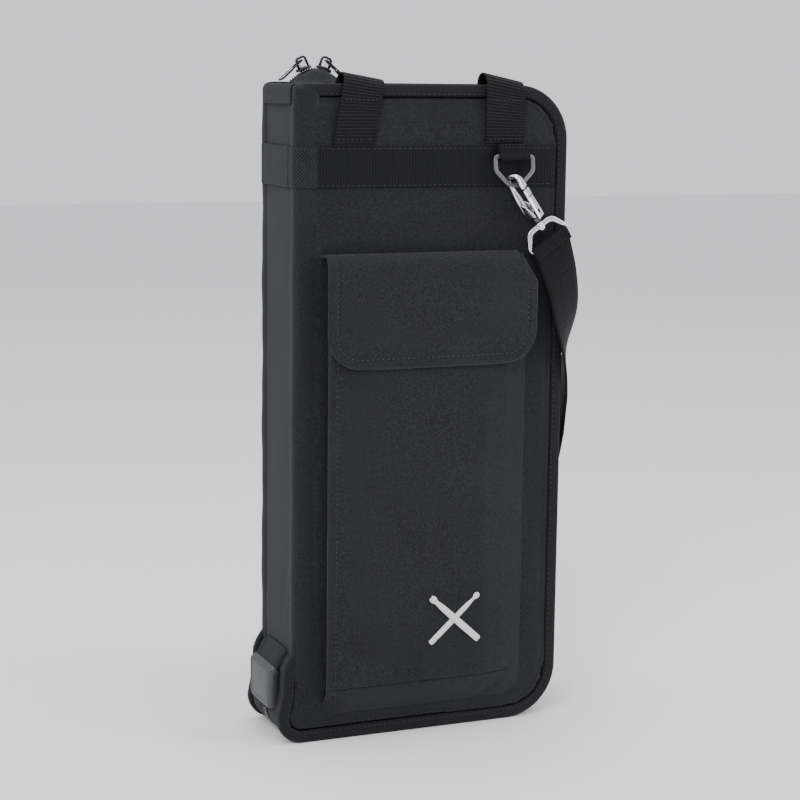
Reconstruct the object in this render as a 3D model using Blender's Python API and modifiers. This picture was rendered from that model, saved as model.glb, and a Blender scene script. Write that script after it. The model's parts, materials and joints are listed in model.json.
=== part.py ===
"""Book-style drum stick bag: two padded covers hinged on a spine, zipped round three sides.

The bag stands on its bottom edge. +Z is up, +X runs from the spine to the zip side, and -Y is the
front, where the flapped pocket is. The origin is on the floor under the middle of the bag.
Lengths are written in millimetres and MM turns them into metres.
"""

import math

import bmesh
import bpy
from mathutils import Matrix, Vector

MM = 0.001
GAP = 0.3                      # clearance left between pieces that touch

# Bag
HALF_WIDTH = 111.0
HALF_DEPTH = 37.5
HEIGHT = 500.0
CORNER_R = 42.0                # rounded corners on the zip side
SPINE_T = 5.8
COVER_LEFT = -HALF_WIDTH + SPINE_T + GAP + 0.1
PANEL_T = 6.0
BINDING_W = 9.0
BINDING_PROUD = 0.6
LINING_T = 1.0
LINING_INSET = 2.3             # between the lining's edge and the gusset
ARC_STEPS = 8                  # points in a quarter round

# Zip gusset and chain
GUSSET_T = 2.5
GUSSET_DROP = 3.0              # the gusset sits this far inside the binding's edge
CHAIN_DROP = GUSSET_DROP - 0.2
CHAIN_GAP = 1.2                # between the two halves of the chain
CHAIN_W = 3.0
CHAIN_T = 2.2
WRAP_TOP = 62.0                # the zip ends here, up the spine
WRAP_X = -119.5                # where the wrapped end stands
WRAP_BULGE_X = -124.0          # its fullest point, near the floor
ARCH_LEFT = -107.0
ARCH_RIGHT = -61.0
ARCH_TOP = 510.0
ARCH_STEPS = 12
ARCH_DEPTH = 14.0              # how far from the zip the arched part reaches
SLIDER_LEFT_X = -91.0
SLIDER_RIGHT_X = -77.0
BAIL_EYE_Z = 6.0               # the pull's axis above the slider's underside
PULL_FLOP = 19.0               # how far the pull leans below the slider's own slope

# Webbing
WEB_T = 1.4
BAND_LOW = 423.5
BAND_HIGH = 454.3
HANDLE_W = 32.5
HANDLE_LEFT_X = -67.2
HANDLE_RIGHT_X = 56.2
HANDLE_LEAN = 0.17
HANDLE_RIGHT_SLOPE = 0.06      # the right strip folds over lower at its outer side
HANDLE_ARCH_R = 8.7
HANDLE_SEAM_Z = 455.6
HANDLE_T = 1.6
WEBBING_OUT = HALF_DEPTH + BINDING_PROUD + 2 * GAP + WEB_T   # just outside the bands
STRAP_W = 34.6
STRAP_T = 1.8
STRAP_SPLIT_Z = 225.0          # where the strap's front and rear runs meet
STRAP_STRAIGHT_LOW = ((103.3, 56.6, 72.0), (68.4, 56.6, 69.0))   # below it the rear run turns up

# Pocket and flap
POCKET_LEFT = -88.0
POCKET_RIGHT = 72.0
POCKET_LOW = 43.0
POCKET_HIGH = 368.0
POCKET_FRONT = -50.0
POCKET_WALL = 1.6
FLAP_LEFT = -92.0
FLAP_RIGHT = 85.0
FLAP_LOW = 289.0
FLAP_TOP = 375.0
FLAP_CORNER_R = 24.0
FLAP_T = 2.4
FLAP_BACK = -53.0              # the flap's inner face

# Stick pockets
STICK_POCKET_LOW = 26.0
STICK_POCKET_DEPTH = 16.0
STICK_POCKET_WALL = 1.4

# D-ring, snap hook and strap ring
RING_X = 62.0
RING_BAR_Z = 446.5
RING_Y = 44.6
RING_WIRE_R = 1.6
RING_HALF_W = 15.7
RING_DROP = 21.5
RING_LEAN = 2.6                # how much further out the ring's lower end hangs
HOOK_WIRE_R = 1.8
HOOK_ARCH_R = 5.4
HOOK_OUT = 0.6                 # the hook's middle stands this much further out than the ring
HOOK_SHANK = -22.0             # the shank's lower end, from the hook's middle
BARREL_R = 3.4
BARREL_LOW = HOOK_SHANK - 5.5
HOOK_SLANT_FRONT = 34.0
HOOK_SLANT_BACK = 5.0
HOOK_TURN_FRONT = 32.0
HOOK_TURN_BACK = 0.0
SWIVEL_LOCAL_Z = BARREL_LOW - GAP
STRAP_RING_TOP = SWIVEL_LOCAL_Z - 3.2
STRAP_RING_LOW = STRAP_RING_TOP - 14.5   # the bar that the strap hangs on
STRAP_RING_HALF = 17.5
STRAP_RING_WIRE_R = 1.7

FRONT = -1.0
BACK = 1.0

PIECES = None                  # the collection of the bag's own objects
CUTTERS = None                 # the collection of cutting tools


# ---------------------------------------------------------------- scene helpers

def clear_scene():
    for obj in list(bpy.data.objects):
        bpy.data.objects.remove(obj, do_unlink=True)


def new_collection(name):
    collection = bpy.data.collections.new(name)
    bpy.context.scene.collection.children.link(collection)
    return collection


def make_material(name, colour, roughness, metallic=0.0):
    material = bpy.data.materials.new(name)
    material.use_nodes = True
    shader = material.node_tree.nodes["Principled BSDF"]
    shader.inputs["Base Color"].default_value = (*colour, 1.0)
    shader.inputs["Roughness"].default_value = roughness
    shader.inputs["Metallic"].default_value = metallic
    material.diffuse_color = (*colour, 1.0)
    return material


def make_materials():
    return {
        "shell": make_material("shell_fabric", (0.035, 0.036, 0.042), 0.85),
        "pocket": make_material("pocket_fabric", (0.033, 0.034, 0.040), 0.85),
        "binding": make_material("binding_fabric", (0.025, 0.026, 0.030), 0.8),
        "webbing": make_material("black_webbing", (0.020, 0.020, 0.023), 0.7),
        "lining": make_material("lining_fabric", (0.030, 0.030, 0.033), 0.9),
        "leather": make_material("grey_leatherette", (0.070, 0.072, 0.078), 0.55),
        "zip": make_material("zip_plastic", (0.015, 0.015, 0.016), 0.45),
        "dark_metal": make_material("dark_chrome", (0.22, 0.22, 0.23), 0.25, 1.0),
        "bright_metal": make_material("bright_chrome", (0.75, 0.75, 0.76), 0.15, 1.0),
        "thread": make_material("white_thread", (0.75, 0.75, 0.74), 0.6),
        "plastic": make_material("black_plastic", (0.02, 0.02, 0.02), 0.5),
        "fastener": make_material("hook_and_loop", (0.018, 0.018, 0.020), 0.95),
    }


def make_pivot(name, place, parent=None):
    """An empty on a joint's axis; pieces of the moving body are its children."""
    pivot = bpy.data.objects.new(name, None)
    pivot.empty_display_size = 10 * MM
    PIECES.objects.link(pivot)
    pivot.matrix_world = Matrix.Translation(Vector(place) * MM)
    attach(pivot, parent)
    return pivot


def attach(obj, parent):
    """Parents an object and leaves it where it is."""
    if parent is None:
        return
    bpy.context.view_layer.update()
    world = obj.matrix_world.copy()
    obj.parent = parent
    obj.matrix_parent_inverse = parent.matrix_world.inverted()
    obj.matrix_world = world


def add_object(name, data, material, parent, matrix=None):
    obj = bpy.data.objects.new(name, data)
    PIECES.objects.link(obj)
    if data.materials:
        data.materials.clear()
    data.materials.append(material)
    if matrix is not None:
        obj.matrix_world = matrix
    attach(obj, parent)
    return obj


def mesh_from_bmesh(name, bm):
    bmesh.ops.recalc_face_normals(bm, faces=bm.faces)
    mesh = bpy.data.meshes.new(name)
    bm.to_mesh(mesh)
    bm.free()
    return mesh


def add_bevel(obj, width, segments=2):
    bevel = obj.modifiers.new("soft_edges", "BEVEL")
    bevel.width = width * MM
    bevel.segments = segments
    bevel.limit_method = "ANGLE"
    bevel.angle_limit = math.radians(40)


def boolean(obj, other, operation):
    """Adds a Boolean whose second object is kept as a hidden tool."""
    for collection in list(other.users_collection):
        collection.objects.unlink(other)
    CUTTERS.objects.link(other)
    other.hide_render = True
    other.display_type = "WIRE"
    cut = obj.modifiers.new(operation.lower(), "BOOLEAN")
    cut.operation = operation
    cut.solver = "EXACT"
    cut.object = other


# ---------------------------------------------------------------- shape helpers

def box_mesh(name, low, high):
    bm = bmesh.new()
    bmesh.ops.create_cube(bm, size=1.0)
    size = [(h - l) * MM for l, h in zip(low, high)]
    centre = [(h + l) / 2 * MM for l, h in zip(low, high)]
    bmesh.ops.scale(bm, vec=size, verts=bm.verts)
    bmesh.ops.translate(bm, vec=centre, verts=bm.verts)
    return mesh_from_bmesh(name, bm)


def add_box(name, low, high, material, parent, bevel=0.0):
    obj = add_object(name, box_mesh(name, low, high), material, parent)
    if bevel:
        add_bevel(obj, bevel)
    return obj


def arc(centre, radius, start, end, steps=ARC_STEPS):
    """Points on an arc in the plane, angles in degrees."""
    points = []
    for i in range(steps + 1):
        a = math.radians(start + (end - start) * i / steps)
        points.append((centre[0] + radius * math.cos(a), centre[1] + radius * math.sin(a)))
    return points


def offset_path(path, distance):
    """Moves each point of an open path to its left by a distance."""
    moved = []
    for i, point in enumerate(path):
        before = Vector(path[max(i - 1, 0)])
        after = Vector(path[min(i + 1, len(path) - 1)])
        here = Vector(point)
        normals = []
        for a, b in ((before, here), (here, after)):
            along = b - a
            if along.length > 1e-9:
                along.normalize()
                normals.append(Vector((-along.y, along.x)))
        normal = sum(normals, Vector((0.0, 0.0))).normalized()
        stretch = 1.0 / max(0.5, normal.dot(normals[0]))
        moved.append(tuple(here + normal * distance * stretch))
    return moved


def strip_outline(path, left, right):
    """Closed outline of a strip that follows a path, from one offset to the other."""
    return offset_path(path, left) + list(reversed(offset_path(path, right)))


def prism(name, outline, axis, low, high):
    """A flat outline pushed along X, Y or Z from one place to another."""
    bm = bmesh.new()
    corners = []
    for a, b in outline:
        place = {"X": (low, a, b), "Y": (a, low, b), "Z": (a, b, low)}[axis]
        corners.append(bm.verts.new(Vector(place) * MM))
    face = bm.faces.new(corners)
    pushed = bmesh.ops.extrude_face_region(bm, geom=[face])
    along = {"X": (1, 0, 0), "Y": (0, 1, 0), "Z": (0, 0, 1)}[axis]
    moved = [item for item in pushed["geom"] if isinstance(item, bmesh.types.BMVert)]
    bmesh.ops.translate(bm, vec=Vector(along) * (high - low) * MM, verts=moved)
    ends = [item for item in bm.faces if len(item.verts) > 4]
    bmesh.ops.triangulate(bm, faces=ends)
    return mesh_from_bmesh(name, bm)


def add_prism(name, outline, axis, low, high, material, parent):
    return add_object(name, prism(name, outline, axis, low, high), material, parent)


def add_ribbon(name, edges, thickness, material, parent):
    """A flat strap lofted through pairs of edge points, with a thickness."""
    bm = bmesh.new()
    rows = []
    for i, (a, b) in enumerate(edges):
        a, b = Vector(a), Vector(b)
        before = (Vector(edges[max(i - 1, 0)][0]) + Vector(edges[max(i - 1, 0)][1])) / 2
        last = min(i + 1, len(edges) - 1)
        after = (Vector(edges[last][0]) + Vector(edges[last][1])) / 2
        across = (b - a).normalized()
        normal = across.cross((after - before).normalized()).normalized() * thickness / 2
        rows.append([bm.verts.new(p * MM) for p in (a - normal, b - normal, b + normal, a + normal)])
    for low, high in zip(rows, rows[1:]):
        for i in range(4):
            j = (i + 1) % 4
            bm.faces.new((low[i], low[j], high[j], high[i]))
    bm.faces.new(rows[0])
    bm.faces.new(rows[-1])
    bmesh.ops.triangulate(bm, faces=bm.faces)
    return add_object(name, mesh_from_bmesh(name, bm), material, parent)


def wire_mesh(name, points, radius, closed=False, sides=3):
    """A round wire through points, as a welded mesh."""
    curve = bpy.data.curves.new(name, "CURVE")
    curve.dimensions = "3D"
    curve.bevel_depth = radius * MM
    curve.bevel_resolution = sides
    curve.use_fill_caps = not closed
    curve.resolution_u = 1
    curve.render_resolution_u = 0
    spline = curve.splines.new("POLY")
    spline.points.add(len(points) - 1)
    for point, place in zip(spline.points, points):
        point.co = (*(Vector(place) * MM), 1.0)
    spline.use_cyclic_u = closed
    guide = bpy.data.objects.new(name, curve)
    bpy.context.scene.collection.objects.link(guide)
    bpy.context.view_layer.update()
    seen = guide.evaluated_get(bpy.context.evaluated_depsgraph_get())
    mesh = bpy.data.meshes.new_from_object(seen)
    bpy.data.objects.remove(guide, do_unlink=True)
    bm = bmesh.new()
    bm.from_mesh(mesh)
    bmesh.ops.remove_doubles(bm, verts=bm.verts, dist=0.00001)
    bmesh.ops.recalc_face_normals(bm, faces=bm.faces)
    bm.to_mesh(mesh)
    bm.free()
    mesh.shade_smooth()
    mesh.name = name
    return mesh


def cylinder_mesh(name, radius, low, high, sides=20):
    """An upright cylinder on the local Z axis."""
    bm = bmesh.new()
    bmesh.ops.create_cone(bm, cap_ends=True, segments=sides, radius1=radius * MM,
                          radius2=radius * MM, depth=(high - low) * MM)
    bmesh.ops.translate(bm, vec=(0, 0, (high + low) / 2 * MM), verts=bm.verts)
    return mesh_from_bmesh(name, bm)


# ---------------------------------------------------------------- outlines of the bag

def zip_side_path(drop, arched=False):
    """Round the zip side, seen from the front: spine top, top, right, bottom and up the spine.

    drop is the distance inside the bag's outermost outline.
    """
    top = HEIGHT - drop
    radius = CORNER_R - drop
    path = [(COVER_LEFT, top)]
    if arched:
        for i in range(1, ARCH_STEPS + 1):
            x = COVER_LEFT + (ARCH_RIGHT - COVER_LEFT) * i / ARCH_STEPS
            path.append((x, top + max(arch_rise(x)[0] - (HEIGHT - CHAIN_DROP), 0.0)))
    path += arc((HALF_WIDTH - CORNER_R, HEIGHT - CORNER_R), radius, 90, 0)
    path += arc((HALF_WIDTH - CORNER_R, CORNER_R), radius, 0, -90)
    centre = (WRAP_BULGE_X + 20.0, 20.0)
    path += arc(centre, 20.0 - drop, -90, -180, 6)
    path.append((WRAP_X + drop - 0.5, 40.0))
    path.append((WRAP_X + drop, WRAP_TOP))
    return path


def panel_outline():
    """A cover panel inside its binding."""
    edge = BINDING_W + GAP
    points = [(COVER_LEFT, HEIGHT - edge)]
    radius = CORNER_R - edge
    points += arc((HALF_WIDTH - CORNER_R, HEIGHT - CORNER_R), radius, 90, 0)
    points += arc((HALF_WIDTH - CORNER_R, CORNER_R), radius, 0, -90)
    points += arc((WRAP_BULGE_X + 20.0, 20.0), 20.0 - edge, -90, -180, 4)
    points.append((WRAP_X + edge, 40.0))
    points.append((WRAP_X + edge, WRAP_TOP - 2))
    points.append((COVER_LEFT, WRAP_TOP))
    return points


def side_span(side, near, far):
    """Y limits for a layer measured from the middle of the bag, low one first."""
    return tuple(sorted((side * near, side * far)))


# ---------------------------------------------------------------- covers

def build_gusset(side, word, materials, cover):
    """The zip's cloth wall; the front one rises in an arch under the sliders."""
    far = HALF_DEPTH - PANEL_T - GAP
    near = CHAIN_GAP / 2 + CHAIN_W + GAP
    low, high = side_span(side, near, far)
    outline = strip_outline(zip_side_path(GUSSET_DROP), 0.0, -GUSSET_T)
    gusset = add_prism(f"{word}_gusset", outline, "Y", low, high, materials["shell"], cover)
    if side == BACK:
        return

    cut_low, cut_high = side_span(side, near - 1, ARCH_DEPTH)
    cutter = add_box("gusset_arch_cut", (ARCH_LEFT + 4, cut_low, HEIGHT - 30),
                     (ARCH_RIGHT - 2, cut_high, HEIGHT + 20), materials["shell"], None)
    boolean(gusset, cutter, "DIFFERENCE")
    arch_path = zip_side_path(GUSSET_DROP, True)[:ARCH_STEPS + 1]
    low, high = side_span(side, near, ARCH_DEPTH + 1)
    arch = add_prism("gusset_arch", strip_outline(arch_path, 0.0, -GUSSET_T), "Y",
                     low, high, materials["shell"], None)
    boolean(gusset, arch, "UNION")


def build_lining(side, word, materials, cover):
    outer = HALF_DEPTH - PANEL_T - GAP
    edge = GUSSET_DROP + GUSSET_T + LINING_INSET
    top = HEIGHT - edge
    right = HALF_WIDTH - edge
    corner = CORNER_R - edge
    outline = [(COVER_LEFT + 6, top)]
    outline += arc((right - corner, top - corner), corner, 90, 0)
    outline += arc((right - corner, edge + corner), corner, 0, -90)
    outline.append((COVER_LEFT + 6, edge))
    low, high = side_span(side, outer - LINING_T, outer)
    add_prism(f"{word}_lining", outline, "Y", low, high, materials["lining"], cover)


def build_cover(side, word, materials, cover):
    """One padded cover: panel, binding, gusset, half of the zip, lining and webbing band."""
    inner = HALF_DEPTH - PANEL_T
    low, high = side_span(side, inner, HALF_DEPTH)
    panel = add_prism(f"{word}_panel", panel_outline(), "Y", low, high, materials["shell"], cover)
    add_bevel(panel, 1.2)

    proud = HALF_DEPTH + BINDING_PROUD
    low, high = side_span(side, inner, proud)
    outline = strip_outline(zip_side_path(0.0), 0.0, -BINDING_W)
    add_prism(f"{word}_binding", outline, "Y", low, high, materials["binding"], cover)

    build_gusset(side, word, materials, cover)

    low, high = side_span(side, CHAIN_GAP / 2, CHAIN_GAP / 2 + CHAIN_W)
    path = zip_side_path(CHAIN_DROP, side == FRONT)
    outline = strip_outline(path, CHAIN_T / 2, -CHAIN_T / 2)
    add_prism(f"{word}_zip_chain", outline, "Y", low, high, materials["zip"], cover)

    build_lining(side, word, materials, cover)

    low, high = side_span(side, proud + GAP, proud + GAP + WEB_T)
    add_box(f"{word}_band", (-HALF_WIDTH, low, BAND_LOW), (HALF_WIDTH - BINDING_W, high, BAND_HIGH),
            materials["webbing"], cover)


def build_stick_pocket(side, word, materials, pivot, left, right, top, cells):
    """A pleated pocket sewn on a lining, with one upright tube for each pair of sticks."""
    base = STICK_POCKET_LOW
    depth = STICK_POCKET_DEPTH
    wall = STICK_POCKET_WALL
    back = HALF_DEPTH - PANEL_T - LINING_T - 2 * GAP
    low, high = side_span(side, back - depth, back)
    pocket = add_box(f"{word}_stick_pocket", (left, low, base), (right, high, top),
                     materials["lining"], pivot)
    width = (right - left - wall) / cells
    for i in range(cells):
        x0 = left + wall + i * width
        hollow = side_span(side, back - depth + wall, back - wall)
        cutter = add_box(f"{word}_stick_cell_{i + 1}", (x0, hollow[0], base + wall * 2),
                         (x0 + width - wall, hollow[1], top + 10), materials["lining"], None, 2.5)
        boolean(pocket, cutter, "DIFFERENCE")


# ---------------------------------------------------------------- spine

def build_spine(materials):
    half = HALF_DEPTH - GAP
    top = HEIGHT - GUSSET_DROP
    add_box("spine_panel", (-HALF_WIDTH, -half, WRAP_TOP + 4), (-HALF_WIDTH + SPINE_T, half, top),
            materials["shell"], None, 1.2)
    outside = -HALF_WIDTH - GAP
    add_box("spine_band", (outside - WEB_T, -half, BAND_LOW), (outside, half, BAND_HIGH),
            materials["webbing"], None)

    # Folded over the spine's top edge, where the zip starts.
    face = outside - 2.5
    fold = top + 0.4
    profile = [(outside, top - 13), (outside, fold), (-106.5, fold), (-106.5, fold + 2),
               (face + 2, fold + 2.2), (face, fold + 0.4), (face, top - 13)]
    add_prism("zip_end_tab", profile, "Y", -22, 22, materials["webbing"], None)

    # Covers the zip's lower end and slopes back to the spine above it.
    face = WRAP_BULGE_X - CHAIN_T - 1.6
    inside = face + 2.4
    profile = [(face, 24), (face, 56), (face + 6, 68.5), (outside, 74), (outside, 71),
               (face + 7.4, 66), (inside, 55), (inside, 24)]
    add_prism("zip_garage_tab", profile, "Y", -22, 22, materials["leather"], None)


# ---------------------------------------------------------------- pocket and flap

def build_pocket_body(materials, cover):
    """A tray of cloth open at the top; its front tapers off beside the strap."""
    back = -HALF_DEPTH - BINDING_PROUD - GAP
    wall = POCKET_WALL
    right_front = back - 4.6
    taper_x = POCKET_RIGHT - 26
    plan = [(POCKET_LEFT, back), (POCKET_LEFT, POCKET_FRONT), (taper_x, POCKET_FRONT),
            (POCKET_RIGHT, right_front), (POCKET_RIGHT, back)]
    body = add_prism("pocket_body", plan, "Z", POCKET_LOW, POCKET_HIGH, materials["pocket"], cover)
    hollow = [(POCKET_LEFT + wall, back + 2), (POCKET_LEFT + wall, POCKET_FRONT + wall),
              (taper_x - 0.4, POCKET_FRONT + wall), (POCKET_RIGHT - wall, right_front + wall),
              (POCKET_RIGHT - wall, back + 2)]
    cutter = add_prism("pocket_hollow", hollow, "Z", POCKET_LOW + wall, POCKET_HIGH + 5,
                       materials["pocket"], None)
    boolean(body, cutter, "DIFFERENCE")


def flap_lower_edge(inset):
    """The flap's rounded lower edge, from its right side round to its left."""
    corner = FLAP_CORNER_R
    edge = arc((FLAP_RIGHT - corner, FLAP_LOW + corner), corner - inset, 0, -90)
    edge += arc((FLAP_LEFT + corner, FLAP_LOW + corner), corner - inset, -90, -180)
    return edge


def build_flap(materials, pivot):
    """The pocket's flap, its sewn edge binding and the two halves of its fastener."""
    back = -HALF_DEPTH - BINDING_PROUD - GAP
    front = FLAP_BACK - FLAP_T
    shelf = back - 7
    section = [(back, FLAP_TOP), (shelf, FLAP_TOP), (front + 1.5, FLAP_TOP - 5), (front, FLAP_TOP - 11),
               (front, FLAP_LOW - 2), (FLAP_BACK, FLAP_LOW - 2), (FLAP_BACK, FLAP_TOP - 12),
               (FLAP_BACK + 1.2, FLAP_TOP - 7), (shelf, FLAP_TOP - FLAP_T), (back, FLAP_TOP - FLAP_T)]
    flap = add_prism("pocket_flap", section, "X", FLAP_LEFT, FLAP_RIGHT, materials["pocket"], pivot)
    cut_low = FLAP_TOP - 27
    outline = [(FLAP_LEFT, FLAP_TOP + 1), (62.0, FLAP_TOP + 1), (FLAP_RIGHT, cut_low)]
    outline += flap_lower_edge(0.0)
    trim = add_prism("flap_outline", outline, "Y", front - 5, back + 5, materials["pocket"], None)
    boolean(flap, trim, "INTERSECT")

    rim = [(FLAP_RIGHT - 0.5, cut_low)] + flap_lower_edge(0.5) + [(FLAP_LEFT + 0.5, FLAP_TOP - 14)]
    add_prism("flap_binding", strip_outline(rim, 0.0, -7.0), "Y", front - GAP - 0.8, front - GAP,
              materials["binding"], pivot)


def build_fastener(materials, cover, flap_pivot):
    """Hook-and-loop patches: one on the pocket's front, one behind the flap."""
    half = 22.0
    low, high = 300.0, 320.0
    thick = 0.9
    pocket_face = POCKET_FRONT - GAP
    flap_face = FLAP_BACK + GAP
    add_box("loop_patch", (-half, pocket_face - thick, low), (half, pocket_face, high),
            materials["fastener"], cover)
    add_box("hook_patch", (-half, flap_face, low), (half, flap_face + thick, high),
            materials["fastener"], flap_pivot)


def build_emblem(materials, cover):
    """Two crossed sticks, a plain generic mark."""
    centre = Vector((15.5, 91.0))
    half = 27.0
    front = POCKET_FRONT - GAP
    # Distance along the stick as a part of its half length, and half its breadth there.
    profile = ((-1.0, 1.5), (-0.96, 2.1), (0.55, 1.9), (0.80, 1.1), (0.84, 1.9), (0.92, 2.3), (0.99, 1.6))
    sticks = []
    for name, lean, raised, parent in (("emblem", 42.0, 0.7, cover), ("emblem_crossing", 138.0, 0.75, None)):
        along = Vector((math.cos(math.radians(lean)), math.sin(math.radians(lean))))
        across = Vector((-along.y, along.x))
        points = [tuple(centre + along * reach * half - across * breadth) for reach, breadth in profile]
        points += [tuple(centre + along * reach * half + across * breadth)
                   for reach, breadth in reversed(profile)]
        sticks.append(add_prism(name, points, "Y", front - raised, front, materials["thread"], parent))
    boolean(sticks[0], sticks[1], "UNION")


# ---------------------------------------------------------------- handle

def build_handle(materials, pivot):
    """Two strips folded over the top edge and joined by the grip behind it."""
    half = HANDLE_W / 2
    middle = -(WEBBING_OUT + HANDLE_T / 2)
    centre = (middle + HANDLE_ARCH_R, HEIGHT - 0.2)
    path = [(middle, HANDLE_SEAM_Z)] + arc(centre, HANDLE_ARCH_R, 180, 0, 12)
    outline = strip_outline(path, HANDLE_T / 2, -HANDLE_T / 2)
    left = prism("handle_left", outline, "X", HANDLE_LEFT_X - half, HANDLE_LEFT_X + half)
    for vertex in left.vertices:
        vertex.co.x += (vertex.co.z - HANDLE_SEAM_Z * MM) * HANDLE_LEAN
    handle = add_object("front_handle", left, materials["webbing"], pivot)

    right = prism("handle_right", outline, "X", HANDLE_RIGHT_X - half, HANDLE_RIGHT_X + half)
    slope_low = HEIGHT - 30
    for vertex in right.vertices:
        rise = min(max((vertex.co.z / MM - slope_low) / 25, 0.0), 1.0)
        vertex.co.z -= (vertex.co.x - (HANDLE_RIGHT_X - half) * MM) * HANDLE_RIGHT_SLOPE * rise
    other = add_object("handle_right_strip", right, materials["webbing"], None)
    boolean(handle, other, "UNION")

    grip_y = centre[0] + HANDLE_ARCH_R
    grip = add_box("handle_grip", (HANDLE_LEFT_X - half + 9, grip_y - 7.2, HEIGHT - 0.3),
                   (HANDLE_RIGHT_X + half - 1, grip_y + 7.2, HEIGHT + 3.9), materials["webbing"], None, 1.0)
    boolean(handle, grip, "UNION")


# ---------------------------------------------------------------- ring, hook and strap ring

def build_ring_loop(side, word, materials, cover):
    """The webbing loop that holds the D-ring's bar: an eye with a tail sewn on the band."""
    half = 12.5
    hole = RING_WIRE_R + 0.6
    outer = hole + WEB_T + 0.2
    rim = arc((side * RING_Y, RING_BAR_Z), outer, 0, 360, 20)[:-1]
    eye = add_prism(f"{word}_ring_loop", rim, "X", RING_X - half, RING_X + half, materials["webbing"], cover)
    low, high = side_span(side, WEBBING_OUT, WEBBING_OUT + 2.2)
    tail = add_box(f"{word}_loop_tail", (RING_X - half + 0.1, low, RING_BAR_Z - 1),
                   (RING_X + half - 0.1, high, RING_BAR_Z + 6.5), materials["webbing"], None)
    boolean(eye, tail, "UNION")
    bar_line = Matrix.Translation(Vector((RING_X, side * RING_Y, RING_BAR_Z)) * MM)
    bar_line = bar_line @ Matrix.Rotation(math.radians(90), 4, "Y")
    hollow = add_object(f"{word}_loop_hole", cylinder_mesh("loop_hole", hole, -20, 20),
                        materials["webbing"], None, bar_line)
    boolean(eye, hollow, "DIFFERENCE")


def build_d_ring(side, word, materials, pivot):
    half = RING_HALF_W
    drop = RING_DROP
    bend = 4.0
    belly = 7.5
    right = arc((half - bend, -bend), bend, 90, 0, 4)
    right.append((half, -drop * 0.42))
    right += arc((half - belly, -drop + belly), belly, -10, -80, 4)
    left = [(-x, z) for x, z in reversed(right)]
    places = []
    for x, z in right + [(0.0, -drop)] + left:
        places.append((RING_X + x, side * (RING_Y - RING_LEAN * z / drop), RING_BAR_Z + z))
    mesh = wire_mesh(f"{word}_d_ring", places, RING_WIRE_R, closed=True)
    add_object(f"{word}_d_ring", mesh, materials["dark_metal"], pivot)


def hook_turn(side):
    return math.radians(HOOK_TURN_FRONT if side == FRONT else HOOK_TURN_BACK)


def hook_frame(side):
    """Local frame of a snap hook: Z along its length towards the D-ring, X out to the gate."""
    slant = math.radians(HOOK_SLANT_FRONT if side == FRONT else HOOK_SLANT_BACK)
    turn = hook_turn(side)
    up = Vector((-math.sin(slant), 0.0, math.cos(slant)))
    out = Vector((0.0, side, 0.0))
    aside = Vector((math.cos(slant), 0.0, math.sin(slant)))
    gate = out * math.cos(turn) + aside * math.sin(turn)
    contact = Vector((RING_X + 1, side * (RING_Y + RING_LEAN), RING_BAR_Z - RING_DROP))
    origin = contact - up * 6.4 + out * HOOK_OUT
    frame = Matrix((gate, up.cross(gate), up)).transposed().to_4x4()
    return Matrix.Translation(origin * MM) @ frame


def strap_ring_frame(side):
    """The hook's frame turned so that X runs along the bar that the strap hangs on."""
    return hook_frame(side) @ Matrix.Rotation(math.radians(90) - hook_turn(side), 4, "Z")


def strap_top(side):
    """The strap's two edges just below its bar."""
    below = STRAP_RING_LOW - STRAP_RING_WIRE_R - 0.8
    frame = strap_ring_frame(side)
    return [frame @ (Vector((x, 0.0, below)) * MM) / MM for x in (-STRAP_W / 2, STRAP_W / 2)]


def build_hook(side, word, materials, ring_pivot, gate_pivot, swivel_pivot):
    """The hook's bent wire and barrel, its gate, and the strap ring that turns below them."""
    metal = materials["bright_metal"]
    frame = hook_frame(side)
    radius = HOOK_ARCH_R
    shank = HOOK_SHANK
    path = [(0.0, 0.0, shank - 1), (-radius * 0.55, 0.0, shank + 0.5), (-radius, 0.0, shank + 5),
            (-radius, 0.0, 3.0)]
    path += [(x, 0.0, z) for x, z in arc((0.0, 9.0), radius, 180, 0, 10)][1:]
    path.append((radius, 0.0, 7.4))
    wire = wire_mesh(f"{word}_hook_body", path, HOOK_WIRE_R)
    body = add_object(f"{word}_hook_body", wire, metal, ring_pivot, frame)
    barrel = add_object(f"{word}_hook_barrel", cylinder_mesh("barrel", BARREL_R, BARREL_LOW, shank - 0.2),
                        metal, None, frame)
    boolean(body, barrel, "UNION")
    lug = add_object(f"{word}_gate_lug", box_mesh("gate_lug", (0.5, -1.4, shank - 3.5),
                                                  (radius - 2.2, 1.4, shank - 0.6)), metal, None, frame)
    boolean(body, lug, "UNION")

    gate_mesh = box_mesh(f"{word}_hook_gate", (radius - 1.2, -3.7, shank - 2.5), (radius + 0.9, 3.7, 1.2))
    gate_piece = add_object(f"{word}_hook_gate", gate_mesh, metal, gate_pivot, frame)
    add_bevel(gate_piece, 0.6)

    half = STRAP_RING_HALF
    knee = STRAP_RING_LOW + 3.6
    corners = ((-11.0, STRAP_RING_TOP), (-half, knee), (-half + 1, STRAP_RING_LOW),
               (half - 1, STRAP_RING_LOW), (half, knee), (11.0, STRAP_RING_TOP))
    places = [(x, 0.0, z) for x, z in corners]
    frame = strap_ring_frame(side)
    ring = wire_mesh(f"{word}_strap_ring", places, STRAP_RING_WIRE_R, closed=True)
    ring_piece = add_object(f"{word}_strap_ring", ring, metal, swivel_pivot, frame)
    stud_mesh = cylinder_mesh("stud", 3.0, SWIVEL_LOCAL_Z - 6, SWIVEL_LOCAL_Z)
    stud = add_object(f"{word}_swivel_stud", stud_mesh, metal, None, frame)
    boolean(ring_piece, stud, "UNION")


# ---------------------------------------------------------------- strap

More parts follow.
